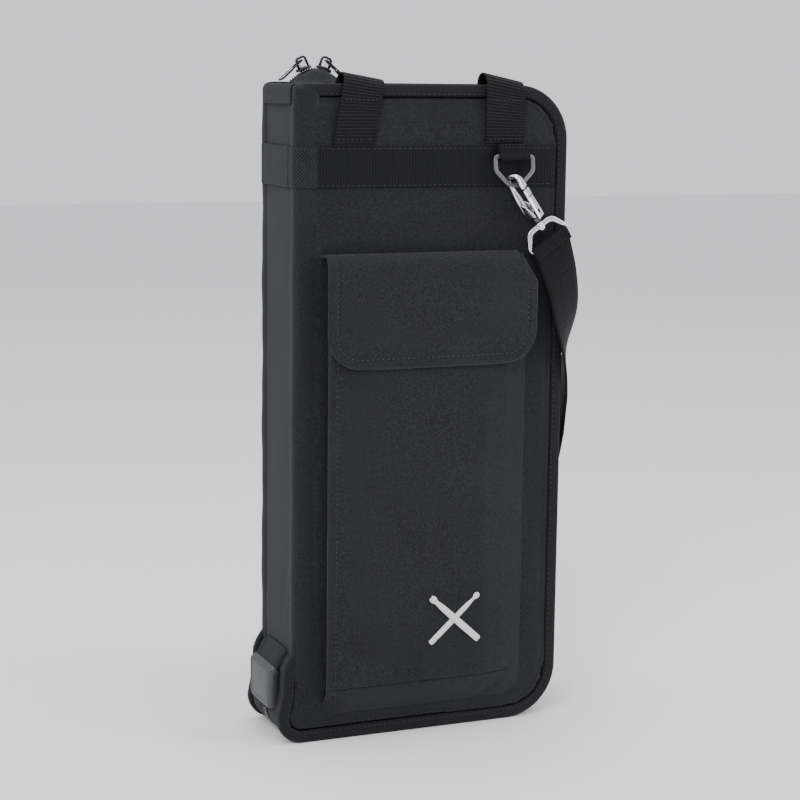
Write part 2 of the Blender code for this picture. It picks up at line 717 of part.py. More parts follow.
def build_strap(materials, front_cover, back_cover):
    """The shoulder strap hanging slack round the zip side, as pairs of edge points."""
    meet = STRAP_SPLIT_Z
    near, far = strap_top(FRONT)
    front_edges = [
        (near, far),
        ((91.5, -49.8, 341.0), (119.6, -40.0, 358.0)),
        ((99.0, -48.4, 316.0), (125.4, -32.0, 328.0)),
        ((108.6, -46.2, 288.0), (125.6, -15.0, 296.0)),
        ((116.6, -36.0, 262.0), (125.0, -2.0, 266.0)),
        ((120.8, -26.0, 242.0), (124.6, 8.6, 243.0)),
        ((122.6, -20.0, meet + GAP / 2), (123.4, 15.0, meet + GAP / 2)),
    ]
    add_ribbon("strap_front_run", front_edges, STRAP_T, materials["webbing"], front_cover)
    rear_edges = [
        ((122.6, -20.0, meet - GAP / 2), (123.4, 15.0, meet - GAP / 2)),
        ((123.2, -9.0, 198.0), (120.4, 25.5, 194.0)),
        ((123.4, 9.0, 168.0), (113.2, 42.4, 162.0)),
        ((122.0, 33.0, 138.0), (94.6, 51.0, 130.0)),
        ((113.5, 43.6, 106.0), (79.0, 47.0, 98.0)),
        ((108.5, 43.4, 72.0), (73.6, 43.6, 66.0)),
        ((107.0, 44.6, 42.0), (72.1, 44.6, 38.0)),
        ((106.3, 48.6, 31.5), (71.4, 48.6, 27.5)),
        ((105.6, 53.6, 31.5), (70.7, 53.6, 27.5)),
        ((104.8, 56.6, 42.0), (69.9, 56.6, 38.0)),
        STRAP_STRAIGHT_LOW,
        tuple(strap_top(BACK)),
    ]
    add_ribbon("strap_rear_run", rear_edges, STRAP_T, materials["webbing"], back_cover)


def adjuster_frame():
    """Half way up the straight part of the strap's rear run, Z along the strap."""
    low = (Vector(STRAP_STRAIGHT_LOW[0]) + Vector(STRAP_STRAIGHT_LOW[1])) / 2
    ends = strap_top(BACK)
    high = (ends[0] + ends[1]) / 2
    along = (high - low).normalized()
    normal = along.cross(Vector((1.0, 0.0, 0.0))).normalized()
    frame = Matrix((normal.cross(along), normal, along)).transposed().to_4x4()
    return Matrix.Translation(low.lerp(high, 0.5) * MM) @ frame


def build_adjuster(materials, pivot):
    frame = adjuster_frame()
    outer = box_mesh("strap_adjuster", (-21.5, -3.8, -10.0), (21.5, 3.8, 10.0))
    adjuster = add_object("strap_adjuster", outer, materials["plastic"], pivot, frame)
    slot = add_object("adjuster_slot", box_mesh("adjuster_slot", (-18.6, -1.7, -20), (18.6, 1.7, 20)),
                      materials["plastic"], None, frame)
    boolean(adjuster, slot, "DIFFERENCE")


# ---------------------------------------------------------------- zip sliders

def arch_rise(x):
    """Height and slope of the arched front chain's middle line."""
    top = HEIGHT - CHAIN_DROP
    rise = ARCH_TOP - top
    turn = math.pi / (ARCH_RIGHT - ARCH_LEFT)
    angle = turn * (x - (ARCH_LEFT + ARCH_RIGHT) / 2)
    return top + rise * math.cos(angle), math.atan(-rise * turn * math.sin(angle))


def slider_frame(x):
    """Local frame of a slider: X along the chain, Z away from the bag."""
    height, slope = arch_rise(x)
    lift = CHAIN_T / 2 + 0.9
    place = Vector((x - lift * math.sin(slope), 0.0, height + lift * math.cos(slope)))
    return Matrix.Translation(place * MM) @ Matrix.Rotation(-slope, 4, "Y")


def build_slider(word, x, materials, pivot, pull_pivot):
    """A slider that rides on the arched front chain, with a bail and a pull hung from it."""
    metal = materials["dark_metal"]
    frame = slider_frame(x)
    body_mesh = box_mesh(f"zip_slider_{word}", (-5.5, -4.4, 0.0), (5.5, 4.4, 2.0))
    body = add_object(f"zip_slider_{word}", body_mesh, metal, pivot, frame)
    crown = BAIL_EYE_Z + 2.2
    bail_path = [(-3.8, 0.0, 1.0), (-3.7, 0.0, crown - 1.6), (-2.6, 0.0, crown), (2.6, 0.0, crown),
                 (3.7, 0.0, crown - 1.6), (3.8, 0.0, 1.0)]
    bail = add_object(f"slider_bail_{word}", wire_mesh("bail", bail_path, 0.8, sides=2), metal, None, frame)
    boolean(body, bail, "UNION")

    # The pull hangs outwards, down the arch: to the left on the left slider.
    outward = 180 - PULL_FLOP if word == "left" else PULL_FLOP
    turned = frame @ Matrix.Translation(Vector((0.0, 0.0, BAIL_EYE_Z)) * MM)
    turned = turned @ Matrix.Rotation(math.radians(outward), 4, "Y")
    # Distance along the pull, and half its breadth there.
    profile = ((-0.9, 2.6), (0.9, 3.0), (8.5, 3.4), (18.5, 4.3), (21.5, 3.2), (22.5, 1.4))
    points = [(reach, -breadth) for reach, breadth in profile]
    points += [(reach, breadth) for reach, breadth in reversed(profile)]
    pull = add_object(f"slider_pull_{word}", prism(f"slider_pull_{word}", points, "Z", -0.6, 0.6),
                      metal, pull_pivot, turned)
    eye = add_object(f"pull_eye_{word}", box_mesh("pull_eye", (0.9, -1.6, -3), (7.4, 1.6, 3)),
                     metal, None, turned)
    boolean(pull, eye, "DIFFERENCE")


# ---------------------------------------------------------------- assembly

def main():
    global PIECES, CUTTERS
    clear_scene()
    PIECES = new_collection("drum_stick_bag")
    CUTTERS = new_collection("cutters")
    materials = make_materials()

    front = make_pivot("front_fold", (-HALF_WIDTH, -HALF_DEPTH, 0))
    back = make_pivot("back_fold", (-HALF_WIDTH, HALF_DEPTH, 0))
    build_spine(materials)
    build_cover(FRONT, "front", materials, front)
    build_cover(BACK, "back", materials, back)
    build_stick_pocket(FRONT, "front", materials, front, -38.0, 92.0, 250.0, 4)
    build_stick_pocket(BACK, "back", materials, back, -62.0, 92.0, 230.0, 3)

    flap_place = (0, -HALF_DEPTH - BINDING_PROUD - GAP, FLAP_TOP)
    flap = make_pivot("flap_hinge", flap_place, front)
    build_pocket_body(materials, front)
    build_flap(materials, flap)
    build_fastener(materials, front, flap)
    build_emblem(materials, front)

    handle = make_pivot("handle_hinge", (0, -WEBBING_OUT - HANDLE_T / 2, HANDLE_SEAM_Z), front)
    build_handle(materials, handle)

    for side, word, cover in ((FRONT, "front", front), (BACK, "back", back)):
        build_ring_loop(side, word, materials, cover)
        ring = make_pivot(f"{word}_ring_swing", (RING_X, side * RING_Y, RING_BAR_Z), cover)
        build_d_ring(side, word, materials, ring)
        frame = hook_frame(side)
        gate_place = frame @ (Vector((HOOK_ARCH_R - 0.2, 0.0, HOOK_SHANK - 1)) * MM)
        gate_hinge = make_pivot(f"{word}_gate_hinge", gate_place / MM, ring)
        swivel_place = frame @ (Vector((0.0, 0.0, SWIVEL_LOCAL_Z)) * MM)
        swivel = make_pivot(f"{word}_swivel", swivel_place / MM, ring)
        build_hook(side, word, materials, ring, gate_hinge, swivel)

    build_strap(materials, front, back)
    adjuster = make_pivot("adjuster_slide", adjuster_frame().translation / MM, back)
    build_adjuster(materials, adjuster)

    for word, x in (("left", SLIDER_LEFT_X), ("right", SLIDER_RIGHT_X)):
        frame = slider_frame(x)
        slider = make_pivot(f"slider_{word}_travel", frame.translation / MM, front)
        eye = frame @ (Vector((0.0, 0.0, BAIL_EYE_Z)) * MM)
        pull = make_pivot(f"pull_{word}_hinge", eye / MM, slider)
        build_slider(word, x, materials, slider, pull)


main()
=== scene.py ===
"""Looks of the drum stick bag: cloth, webbing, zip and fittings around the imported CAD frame.

Lengths are written in millimetres and MM turns them into metres. Places come from the CAD nodes'
boxes; +X runs from the spine to the zip side, -Y is the front and +Z is up.
"""

import json
import math
import random

import bmesh
import bpy
import numpy as np
from mathutils import Matrix, Vector
from mathutils.bvhtree import BVHTree

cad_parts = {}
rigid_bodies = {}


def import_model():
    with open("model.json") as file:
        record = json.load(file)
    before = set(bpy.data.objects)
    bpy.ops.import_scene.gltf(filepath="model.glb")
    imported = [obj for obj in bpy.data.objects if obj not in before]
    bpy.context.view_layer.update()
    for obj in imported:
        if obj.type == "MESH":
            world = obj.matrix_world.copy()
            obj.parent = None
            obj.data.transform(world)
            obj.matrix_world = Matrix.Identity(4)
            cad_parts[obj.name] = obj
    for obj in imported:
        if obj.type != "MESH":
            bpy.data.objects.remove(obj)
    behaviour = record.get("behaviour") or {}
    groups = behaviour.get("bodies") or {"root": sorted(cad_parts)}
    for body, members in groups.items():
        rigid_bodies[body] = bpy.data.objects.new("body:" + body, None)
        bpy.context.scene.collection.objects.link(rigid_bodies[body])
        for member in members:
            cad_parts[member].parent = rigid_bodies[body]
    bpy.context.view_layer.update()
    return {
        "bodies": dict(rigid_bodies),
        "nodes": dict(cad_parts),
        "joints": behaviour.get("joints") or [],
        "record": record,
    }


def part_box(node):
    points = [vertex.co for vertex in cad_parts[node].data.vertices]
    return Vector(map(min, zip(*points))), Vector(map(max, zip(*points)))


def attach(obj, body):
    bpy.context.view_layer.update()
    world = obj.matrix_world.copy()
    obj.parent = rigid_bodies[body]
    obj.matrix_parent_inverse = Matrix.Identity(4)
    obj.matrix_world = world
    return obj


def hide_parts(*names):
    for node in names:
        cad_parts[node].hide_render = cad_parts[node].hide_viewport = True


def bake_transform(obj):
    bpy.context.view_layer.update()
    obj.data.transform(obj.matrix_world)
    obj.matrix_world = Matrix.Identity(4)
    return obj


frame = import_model()

MM = 0.001
FRONT = -1
BACK = 1
RNG = random.Random(11)


def box_mm(node):
    """A node's lowest and highest corners in millimetres."""
    low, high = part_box(node)
    return np.array(low) / MM, np.array(high) / MM


def dress(piece, body, slot, *replaced):
    """Sets the body that carries a piece and hides the CAD nodes that it replaces; its slot is not used."""
    if replaced:
        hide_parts(*replaced)
    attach(piece, body)


SPINE = box_mm("spine_panel")
RIM = box_mm("front_binding")
LEFT = SPINE[0][0]
RIGHT = RIM[1][0]
TOP = RIM[1][2]
DEPTH = -box_mm("front_panel")[0][1]          # half the bag's depth, to the panels' faces
PAD_IN = -box_mm("front_panel")[1][1]
PAD_LEFT = SPINE[1][0] + 0.4
CORNER = 42.0
RIM_W = 9.0
WRAP = (-124.0, -119.5, 62.0)                 # the zip end's fullest X, its upper X and its top
ARCH = (-107.0, -61.0, 12.8)                  # from X, to X and rise


# ---------------------------------------------------------------- camera, floor and light

CAMERA_PLACE = (-0.6198, -1.4377, 0.5110)
CAMERA_YAW = 22.96
CAMERA_DOWN = 9.28
CAMERA_ROLL = 0.69
CAMERA_LENS = 91.18


def build_camera():
    data = bpy.data.cameras.new("camera")
    data.lens = CAMERA_LENS
    data.sensor_width = 36.0
    camera = bpy.data.objects.new("camera", data)
    bpy.context.scene.collection.objects.link(camera)
    turn = Matrix.Rotation(math.radians(-CAMERA_YAW), 4, "Z")
    tip = Matrix.Rotation(math.radians(90 - CAMERA_DOWN), 4, "X")
    roll = Matrix.Rotation(math.radians(CAMERA_ROLL), 4, "Z")
    camera.matrix_world = Matrix.Translation(CAMERA_PLACE) @ turn @ tip @ roll
    bpy.context.scene.camera = camera


def area_light(name, place, aim, size, power):
    data = bpy.data.lights.new(name, "AREA")
    data.shape = "RECTANGLE"
    data.size, data.size_y = size
    data.energy = power
    lamp = bpy.data.objects.new(name, data)
    bpy.context.scene.collection.objects.link(lamp)
    lamp.location = place
    lamp.rotation_euler = (Vector(aim) - Vector(place)).to_track_quat("-Z", "Y").to_euler()


def build_studio():
    mesh = bpy.data.meshes.new("floor")
    reach = 6.0
    mesh.from_pydata([(-reach, -reach, 0), (reach, -reach, 0), (reach, reach, 0), (-reach, reach, 0)],
                     [], [(0, 1, 2, 3)])
    floor = bpy.data.objects.new("floor", mesh)
    bpy.context.scene.collection.objects.link(floor)
    material = bpy.data.materials.new("pale_floor")
    material.use_nodes = True
    shader = material.node_tree.nodes["Principled BSDF"]
    shader.inputs["Base Color"].default_value = (0.86, 0.86, 0.86, 1)
    shader.inputs["Roughness"].default_value = 0.9
    mesh.materials.append(material)

    world = bpy.data.worlds.new("studio")
    world.use_nodes = True
    world.node_tree.nodes["Background"].inputs["Color"].default_value = (0.95, 0.96, 1.0, 1)
    world.node_tree.nodes["Background"].inputs["Strength"].default_value = 1.05
    bpy.context.scene.world = world
    area_light("key", (-1.3, -1.6, 1.7), (0, 0, 0.26), (1.2, 1.2), 34)
    area_light("left_fill", (-1.9, 0.1, 0.7), (-0.1, 0, 0.25), (0.9, 1.4), 7)
    area_light("right_strip", (1.4, -0.9, 0.9), (0.1, 0, 0.3), (0.4, 1.4), 10)
    area_light("top", (0.1, 0.1, 2.2), (0, 0, 0.3), (1.6, 1.6), 18)


# ---------------------------------------------------------------- materials

class Nodes:
    """Short ways to write a material's node tree."""

    def __init__(self, name):
        self.material = bpy.data.materials.new(name)
        self.material.use_nodes = True
        self.tree = self.material.node_tree
        self.shader = self.tree.nodes["Principled BSDF"]
        place = self.tree.nodes.new("ShaderNodeTexCoord")
        self.object = place.outputs["Object"]
        self.uv = place.outputs["UV"]

    def set(self, node, socket, value):
        if isinstance(value, bpy.types.NodeSocket):
            self.tree.links.new(value, node.inputs[socket])
        else:
            node.inputs[socket].default_value = value

    def math(self, operation, a, b=0.0, c=0.0, clamp=False):
        node = self.tree.nodes.new("ShaderNodeMath")
        node.operation = operation
        node.use_clamp = clamp
        for socket, value in enumerate((a, b, c)):
            self.set(node, socket, value)
        return node.outputs[0]

    def line(self, value, slope, start):
        """value * slope + start."""
        return self.math("MULTIPLY_ADD", value, slope, start)

    def wave(self, value, pitch_mm):
        """A sine from 0 to 1 with this pitch."""
        turned = self.math("MULTIPLY", value, 2 * math.pi / (pitch_mm * MM))
        return self.line(self.math("SINE", turned), 0.5, 0.5)

    def blend(self, *weighted):
        """The sum of (value, weight) pairs, kept from 0 to 1."""
        total = 0.0
        for value, weight in weighted:
            total = self.math("MULTIPLY_ADD", value, weight, total, clamp=True)
        return total

    def noise(self, size_mm, detail=2.0, stretch=(1, 1, 1)):
        mapping = self.tree.nodes.new("ShaderNodeMapping")
        self.set(mapping, "Vector", self.object)
        mapping.inputs["Scale"].default_value = stretch
        node = self.tree.nodes.new("ShaderNodeTexNoise")
        self.tree.links.new(mapping.outputs[0], node.inputs["Vector"])
        node.inputs["Scale"].default_value = 1 / (size_mm * MM)
        node.inputs["Detail"].default_value = detail
        return node.outputs["Fac"]

    def split(self, vector):
        node = self.tree.nodes.new("ShaderNodeSeparateXYZ")
        self.tree.links.new(vector, node.inputs[0])
        return node.outputs[0], node.outputs[1], node.outputs[2]

    def mix(self, factor, a, b):
        node = self.tree.nodes.new("ShaderNodeMix")
        node.data_type = "RGBA"
        self.set(node, 0, factor)
        for socket, value in ((6, a), (7, b)):
            self.set(node, socket, value if isinstance(value, bpy.types.NodeSocket) else (*value, 1))
        return node.outputs[2]

    def ramp(self, value, low, high):
        node = self.tree.nodes.new("ShaderNodeMapRange")
        self.set(node, 0, value)
        node.inputs[1].default_value = low
        node.inputs[2].default_value = high
        return node.outputs[0]

    def bump(self, height, distance_mm):
        node = self.tree.nodes.new("ShaderNodeBump")
        node.inputs["Distance"].default_value = distance_mm * MM
        self.tree.links.new(height, node.inputs["Height"])
        self.tree.links.new(node.outputs[0], self.shader.inputs["Normal"])

    def finish(self, colour, roughness, **fixed):
        self.set(self.shader, "Base Color", colour)
        self.set(self.shader, "Roughness", roughness)
        for socket, value in fixed.items():
            self.shader.inputs[socket.replace("_", " ")].default_value = value
        return self.material


def shade(colour, by):
    """A colour made darker or lighter."""
    return tuple(min(1, c * by) for c in colour)


def edge_light(n, colour, worn, amount):
    """Paler where the surface is sharply convex, as cloth wears at its folds."""
    geometry = n.tree.nodes.new("ShaderNodeNewGeometry")
    sharp = n.ramp(geometry.outputs["Pointiness"], 0.52, 0.60)
    return n.mix(n.math("MULTIPLY", sharp, amount), colour, worn)


def cloth_material(name, dark, light, pitch=0.9, bump=0.22, sheen=0.25):
    """Plain-woven coated cloth: a fine weave, pale specks and a slow change of tone."""
    n = Nodes(name)
    x, y, z = n.split(n.object)
    across = n.math("ADD", x, y)
    up = n.math("ADD", z, n.math("MULTIPLY", n.math("SUBTRACT", x, y), 0.12))
    weave = n.math("MULTIPLY", n.wave(across, pitch), n.wave(up, pitch))
    speck = n.ramp(n.noise(1.0, 3.0), 0.42, 0.68)
    thread = n.noise(0.7, 1.0, stretch=(1, 1, 0.12))
    slow = n.ramp(n.noise(60, 2.0), 0.3, 0.7)
    level = n.blend((speck, 0.74), (weave, 0.20), (slow, 0.16))
    colour = edge_light(n, n.mix(level, dark, light), shade(light, 1.5), 0.35)
    rough = n.line(n.ramp(speck, -1.2, 1.4), 0.3, 0.62)
    n.bump(n.line(thread, 0.8, weave), bump)
    return n.finish(colour, rough, Sheen_Weight=sheen, Sheen_Roughness=0.5, Specular_IOR_Level=0.22)


def webbing_material(name, dark, light, style, pitch=2.0, bump=0.25):
    """Webbing woven along its UV map, in metres: herringbone or crosswise ribs."""
    n = Nodes(name)
    u, v, _ = n.split(n.uv)
    if style == "herringbone":
        zigzag = n.math("PINGPONG", u, 4.2 * MM)
        main = n.wave(n.math("ADD", v, zigzag), pitch)
        fine = n.wave(n.math("SUBTRACT", v, zigzag), pitch * 0.5)
    else:
        main = n.wave(v, pitch)
        fine = n.wave(u, 1.3)
    dust = n.ramp(n.noise(1.0, 3.0), 0.38, 0.75)
    level = n.blend((n.math("MULTIPLY", main, n.line(fine, 0.5, 0.5)), 0.65), (dust, 0.35))
    slow = n.ramp(n.noise(30, 2.0), 0.25, 0.8)
    colour = n.mix(level, dark, n.mix(slow, light, shade(light, 1.35)))
    rough = n.line(level, -0.18, 0.66)
    n.bump(n.line(fine, 0.4, main), bump)
    return n.finish(colour, rough, Sheen_Weight=0.02, Sheen_Roughness=0.4, Specular_IOR_Level=0.12)


def metal_material(name, colour, rough, smear=0.12):
    """Plated metal with faint smears in its gloss and tiny pits."""
    n = Nodes(name)
    cloud = n.ramp(n.noise(9, 4.0), 0.3, 0.75)
    scratch = n.noise(1.6, 2.0, stretch=(1, 1, 0.15))
    n.bump(n.line(cloud, 0.5, scratch), 0.02)
    return n.finish(n.mix(cloud, colour, shade(colour, 0.82)), n.line(cloud, smear, rough), Metallic=1.0)


def plain_material(name, colour, rough, grain_mm, bump, **fixed):
    """Moulded plastic, thread or coated cloth with a grain."""
    n = Nodes(name)
    grain = n.noise(grain_mm, 4.0)
    slow = n.ramp(n.noise(25, 2.0), 0.3, 0.7)
    tone = n.mix(n.blend((grain, 0.6), (slow, 0.4)), shade(colour, 0.72), shade(colour, 1.28))
    n.bump(grain, bump)
    return n.finish(edge_light(n, tone, shade(colour, 1.8), 0.4), n.line(grain, 0.2, rough - 0.1), **fixed)


def satin_material(name, colour):
    """Satin-stitch embroidery: close threads slanting across the mark."""
    n = Nodes(name)
    x, _, z = n.split(n.object)
    threads = n.wave(n.math("ADD", x, n.math("MULTIPLY", z, 0.35)), 0.55)
    tone = n.mix(threads, shade(colour, 0.6), colour)
    n.bump(threads, 0.12)
    return n.finish(tone, n.ramp(n.noise(3), -1.0, 1.6), Sheen_Weight=0.3, Specular_IOR_Level=0.5)


def build_materials():
    """Every material by a short key; the cloths and webbings are listed dark tone first, then light."""
    cloths = (("shell", "shell_cloth", (0.0014, 0.0015, 0.0021), (0.0200, 0.0208, 0.0262), 0.9, 0.26, 0.05),
              ("spine", "spine_cloth", (0.0018, 0.0020, 0.0028), (0.0200, 0.0212, 0.0268), 0.9, 0.22, 0.05),
              ("pocket", "pocket_cloth", (0.0015, 0.0016, 0.0022), (0.0225, 0.0234, 0.0292), 0.9, 0.26, 0.06),
              ("edge", "binding_cloth", (0.0014, 0.0014, 0.0019), (0.0135, 0.0140, 0.0172), 0.8, 0.22, 0.04),
              # The pleat's cloth is painted near black: painted shade inside the pocket's fold.
              ("gap", "pleat_cloth", (0.0012, 0.0012, 0.0015), (0.0045, 0.0045, 0.0055), 0.8, 0.1, 0.02),
              ("lining", "lining_cloth", (0.005, 0.005, 0.0058), (0.020, 0.020, 0.0225), 0.6, 0.12, 0.15))
    webbings = (
        ("band", "band_webbing", (0.0020, 0.0020, 0.0026), (0.030, 0.031, 0.037), "herringbone", 2.5, 0.3),
        ("ribband", "band_webbing_front", (0.0022, 0.0022, 0.0028), (0.0095, 0.0098, 0.012), "ribs", 2.3,
         0.14),
        ("strap", "strap_webbing", (0.001, 0.001, 0.0012), (0.0085, 0.0087, 0.0102), "herringbone", 1.9, 0.2),
        ("ribbed", "ribbed_webbing", (0.0005, 0.0005, 0.0006), (0.0150, 0.0150, 0.0175), "ribs", 2.5, 0.4),
        ("tape", "zip_tape", (0.002, 0.002, 0.0024), (0.009, 0.009, 0.0105), "ribs", 0.8, 0.08))
    mats = {key: cloth_material(*values) for key, *values in cloths}
    mats.update({key: webbing_material(*values) for key, *values in webbings})
    mats.update({
        "leather": plain_material("leatherette", (0.030, 0.031, 0.036), 0.55, 0.8, 0.05, Coat_Weight=0.1),
        "coil": plain_material("zip_coil", (0.045, 0.045, 0.048), 0.38, 0.5, 0.02, Specular_IOR_Level=0.6),
        "thread": plain_material("dark_thread", (0.0075, 0.0075, 0.009), 0.6, 0.3, 0.05, Sheen_Weight=0.05),
        "seam": plain_material("pale_thread", (0.016, 0.0165, 0.019), 0.6, 0.3, 0.05, Sheen_Weight=0.08),
        "plastic": plain_material("black_plastic", (0.007, 0.007, 0.0078), 0.42, 0.6, 0.03),
        "pile": plain_material("hook_and_loop_pile", (0.01, 0.01, 0.011), 0.95, 0.5, 0.35, Sheen_Weight=0.6),
        "dark_metal": metal_material("gunmetal", (0.10, 0.10, 0.11), 0.30),
        "slider": metal_material("dark_chrome", (0.040, 0.040, 0.045), 0.30),
        "satin": metal_material("satin_nickel", (0.17, 0.17, 0.18), 0.42),
        "chrome": metal_material("bright_nickel", (0.78, 0.78, 0.80), 0.13, 0.08),
        "emblem": satin_material("white_satin_stitch", (0.80, 0.80, 0.79)),
    })
    return mats


# ---------------------------------------------------------------- mesh helpers

def new_object(name, verts, faces, material, smooth=True, uvs=None):
    """A mesh object from millimetre points; uvs holds one pair per point."""
    mesh = bpy.data.meshes.new(name)
    mesh.from_pydata([tuple(v) for v in np.asarray(verts, float) * MM], [], [tuple(f) for f in faces])
    mesh.materials.append(material)
    if uvs is not None:
        layer = mesh.uv_layers.new(name="UVMap")
        flat = np.asarray(uvs, float)[[loop.vertex_index for loop in mesh.loops]] * MM
        layer.data.foreach_set("uv", flat.ravel())
    if smooth:
        mesh.shade_smooth()
    obj = bpy.data.objects.new(name, mesh)
    bpy.context.scene.collection.objects.link(obj)
    return obj


def modifier(obj, kind, **values):
    item = obj.modifiers.new(kind.lower(), kind)
    for key, value in values.items():
        setattr(item, key, value)
    return item


def apply_modifiers(obj):
    """Turns the object's modifiers into its mesh."""
    bpy.context.view_layer.update()
    seen = obj.evaluated_get(bpy.context.evaluated_depsgraph_get())
    mesh = bpy.data.meshes.new_from_object(seen)
    obj.modifiers.clear()
    obj.data = mesh
    return obj


def recalc(obj):
    """Turns an object's faces outward."""
    bm = bmesh.new()
    bm.from_mesh(obj.data)
    bmesh.ops.recalc_face_normals(bm, faces=bm.faces)
    bm.to_mesh(obj.data)
    bm.free()
    return obj


def points_of(obj):
    """An object's points in millimetres."""
    co = np.empty(len(obj.data.vertices) * 3)
    obj.data.vertices.foreach_get("co", co)
    return co.reshape(-1, 3) / MM


def set_points(obj, co):
    obj.data.vertices.foreach_set("co", (np.asarray(co) * MM).ravel())
    obj.data.update()


def join(name, parts):
    """Several objects as one, with their materials kept."""
    bm = bmesh.new()
    mesh = bpy.data.meshes.new(name)
    for part in parts:
        apply_modifiers(part)
        part.data.transform(part.matrix_world)
        slot = {}
        for i, material in enumerate(part.data.materials):
            if material.name not in mesh.materials:
                mesh.materials.append(material)
            slot[i] = list(mesh.materials).index(material)
        before = len(bm.faces)
        bm.from_mesh(part.data)
        bm.faces.ensure_lookup_table()
        for face in bm.faces[before:]:
            face.material_index = slot.get(face.material_index, 0)
    bm.to_mesh(mesh)
    bm.free()
    for part in parts:
        bpy.data.objects.remove(part, do_unlink=True)
    obj = bpy.data.objects.new(name, mesh)
    bpy.context.scene.collection.objects.link(obj)
    return obj


def curve_through(points, step):
    """A smooth line through points, resampled about every step."""
    pts = np.array([points[0], *points, points[-1]], float)
    out = []
    for i in range(1, len(pts) - 2):
        p0, p1, p2, p3 = pts[i - 1:i + 3]
        count = max(1, round(np.linalg.norm(p2 - p1) / step))
        for k in range(count):
            t = k / count
            out.append(0.5 * (2 * p1 + (p2 - p0) * t + (2 * p0 - 5 * p1 + 4 * p2 - p3) * t ** 2
                              + (3 * p1 - p0 - 3 * p2 + p3) * t ** 3))
    out.append(pts[-2])
    return np.array(out)


def arc(centre, radius, start, end, steps):
    """Points round an arc, its angles in degrees."""
    angles = np.radians(np.linspace(start, end, steps + 1))
    return [(centre[0] + radius * math.cos(a), centre[1] + radius * math.sin(a)) for a in angles]


def resample(path, step):
    """A polyline with a point about every step, its corners kept."""
    out = [np.array(path[0], float)]
    for a, b in zip(path, path[1:]):
        a, b = np.array(a, float), np.array(b, float)
        count = max(1, round(np.linalg.norm(b - a) / step))
        out += [a + (b - a) * k / count for k in range(1, count + 1)]
    return np.array(out)


def lengths(path):
    """The length along a path up to each of its points."""
    steps = np.linalg.norm(np.diff(np.asarray(path), axis=0), axis=1)
    return np.concatenate(([0.0], np.cumsum(steps)))


def at_length(s, travel, values):
    """A row of values at a length along a path."""
    return np.array([np.interp(s, travel, column) for column in np.asarray(values).T])


def loft_faces(rows, k, base=0, closed=False):
    """Quads between rows of k points, each row a closed loop."""
    faces = []
    for i in range(rows if closed else rows - 1):
        near, far = base + i * k, base + (i + 1) % rows * k
        faces += [(near + m, near + (m + 1) % k, far + (m + 1) % k, far + m) for m in range(k)]
    return faces


def tube(name, path, profile, material, closed=False, side=(0.0, 1.0, 0.0)):
    """Sweeps a profile of (a, b) pairs along a path; b lies along side, kept square to the path."""
    path = np.asarray(path, float)
    count = len(path)
    if closed:
        along = np.roll(path, -1, 0) - np.roll(path, 1, 0)
    else:
        along = np.gradient(path, axis=0)
    along /= np.linalg.norm(along, axis=1)[:, None]
    side = np.broadcast_to(np.array(side, float), path.shape)
    b = side - (side * along).sum(1)[:, None] * along
    b /= np.linalg.norm(b, axis=1)[:, None]
    a = np.cross(b, along)
    profiles = profile if callable(profile) else (lambda t: profile)
    travel = lengths(path)
    verts, uvs = [], []
    for i in range(count):
        shape = np.asarray(profiles(travel[i] / travel[-1]), float)
        verts += list(path[i] + shape[:, :1] * a[i] + shape[:, 1:] * b[i])
        uvs += [(s[1], travel[i]) for s in shape]
    k = len(shape)
    faces = loft_faces(count, k, closed=closed)
    if not closed:
        faces += [tuple(range(k)), tuple(range((count - 1) * k, count * k))]
    return recalc(new_object(name, verts, faces, material, uvs=uvs))


def round_profile(radius_a, radius_b, steps):
    return [(radius_a * math.cos(t), radius_b * math.sin(t))
            for t in np.linspace(0, 2 * math.pi, steps, endpoint=False)]


def flat_profile(width, thick, columns=8):
    """Webbing's cross-section, b across its width, with rounded selvages."""
    r = thick / 2
    reach = width / 2 - r
    across = np.linspace(-reach, reach, columns)
    turns = (0.8, 1.57, 2.34)
    shape = [(r, b) for b in across]
    shape += [(r * math.cos(t), reach + r * math.sin(t)) for t in turns]
    shape += [(-r, b) for b in across[::-1]]
    shape += [(-r * math.cos(t), -reach - r * math.sin(t)) for t in turns]
    return shape


def plate(name, outline, thick, material, matrix=None, hole=None, soften=0.35, dome=0.0):
    """A flat piece in the local XY plane with softened edges, and perhaps one hole in it."""
    outline = np.asarray(outline, float)
    n = len(outline)
    loops = [outline]
    if hole is not None:
        loops.append(np.asarray(hole, float))
    verts, faces = [], []
    for z in (-thick / 2, thick / 2):
        for loop in loops:
            verts += [(x, y, z) for x, y in loop]
    per = n * len(loops)
    for m in range(n):
        k = (m + 1) % n
        faces.append((m, k, per + k, per + m))
        if hole is not None:
            faces.append((n + k, n + m, per + n + m, per + n + k))
            faces.append((m, n + m, n + k, k))
            faces.append((per + k, per + n + k, per + n + m, per + m))
    if hole is None:
        faces += [tuple(range(n))[::-1], tuple(range(per, per + n))]
    obj = recalc(new_object(name, verts, faces, material, smooth=False))
    if dome:
        co = points_of(obj)
        co[:, 2] += dome * (1 - (co[:, 0] / np.abs(co[:, 0]).max()) ** 2)
        set_points(obj, co)
    if soften:
        modifier(obj, "BEVEL", width=soften * MM, segments=3, limit_method="ANGLE",
                 angle_limit=math.radians(35))
    apply_modifiers(obj)
    obj.data.shade_smooth()
    if matrix is not None:
        obj.data.transform(matrix)
    return obj


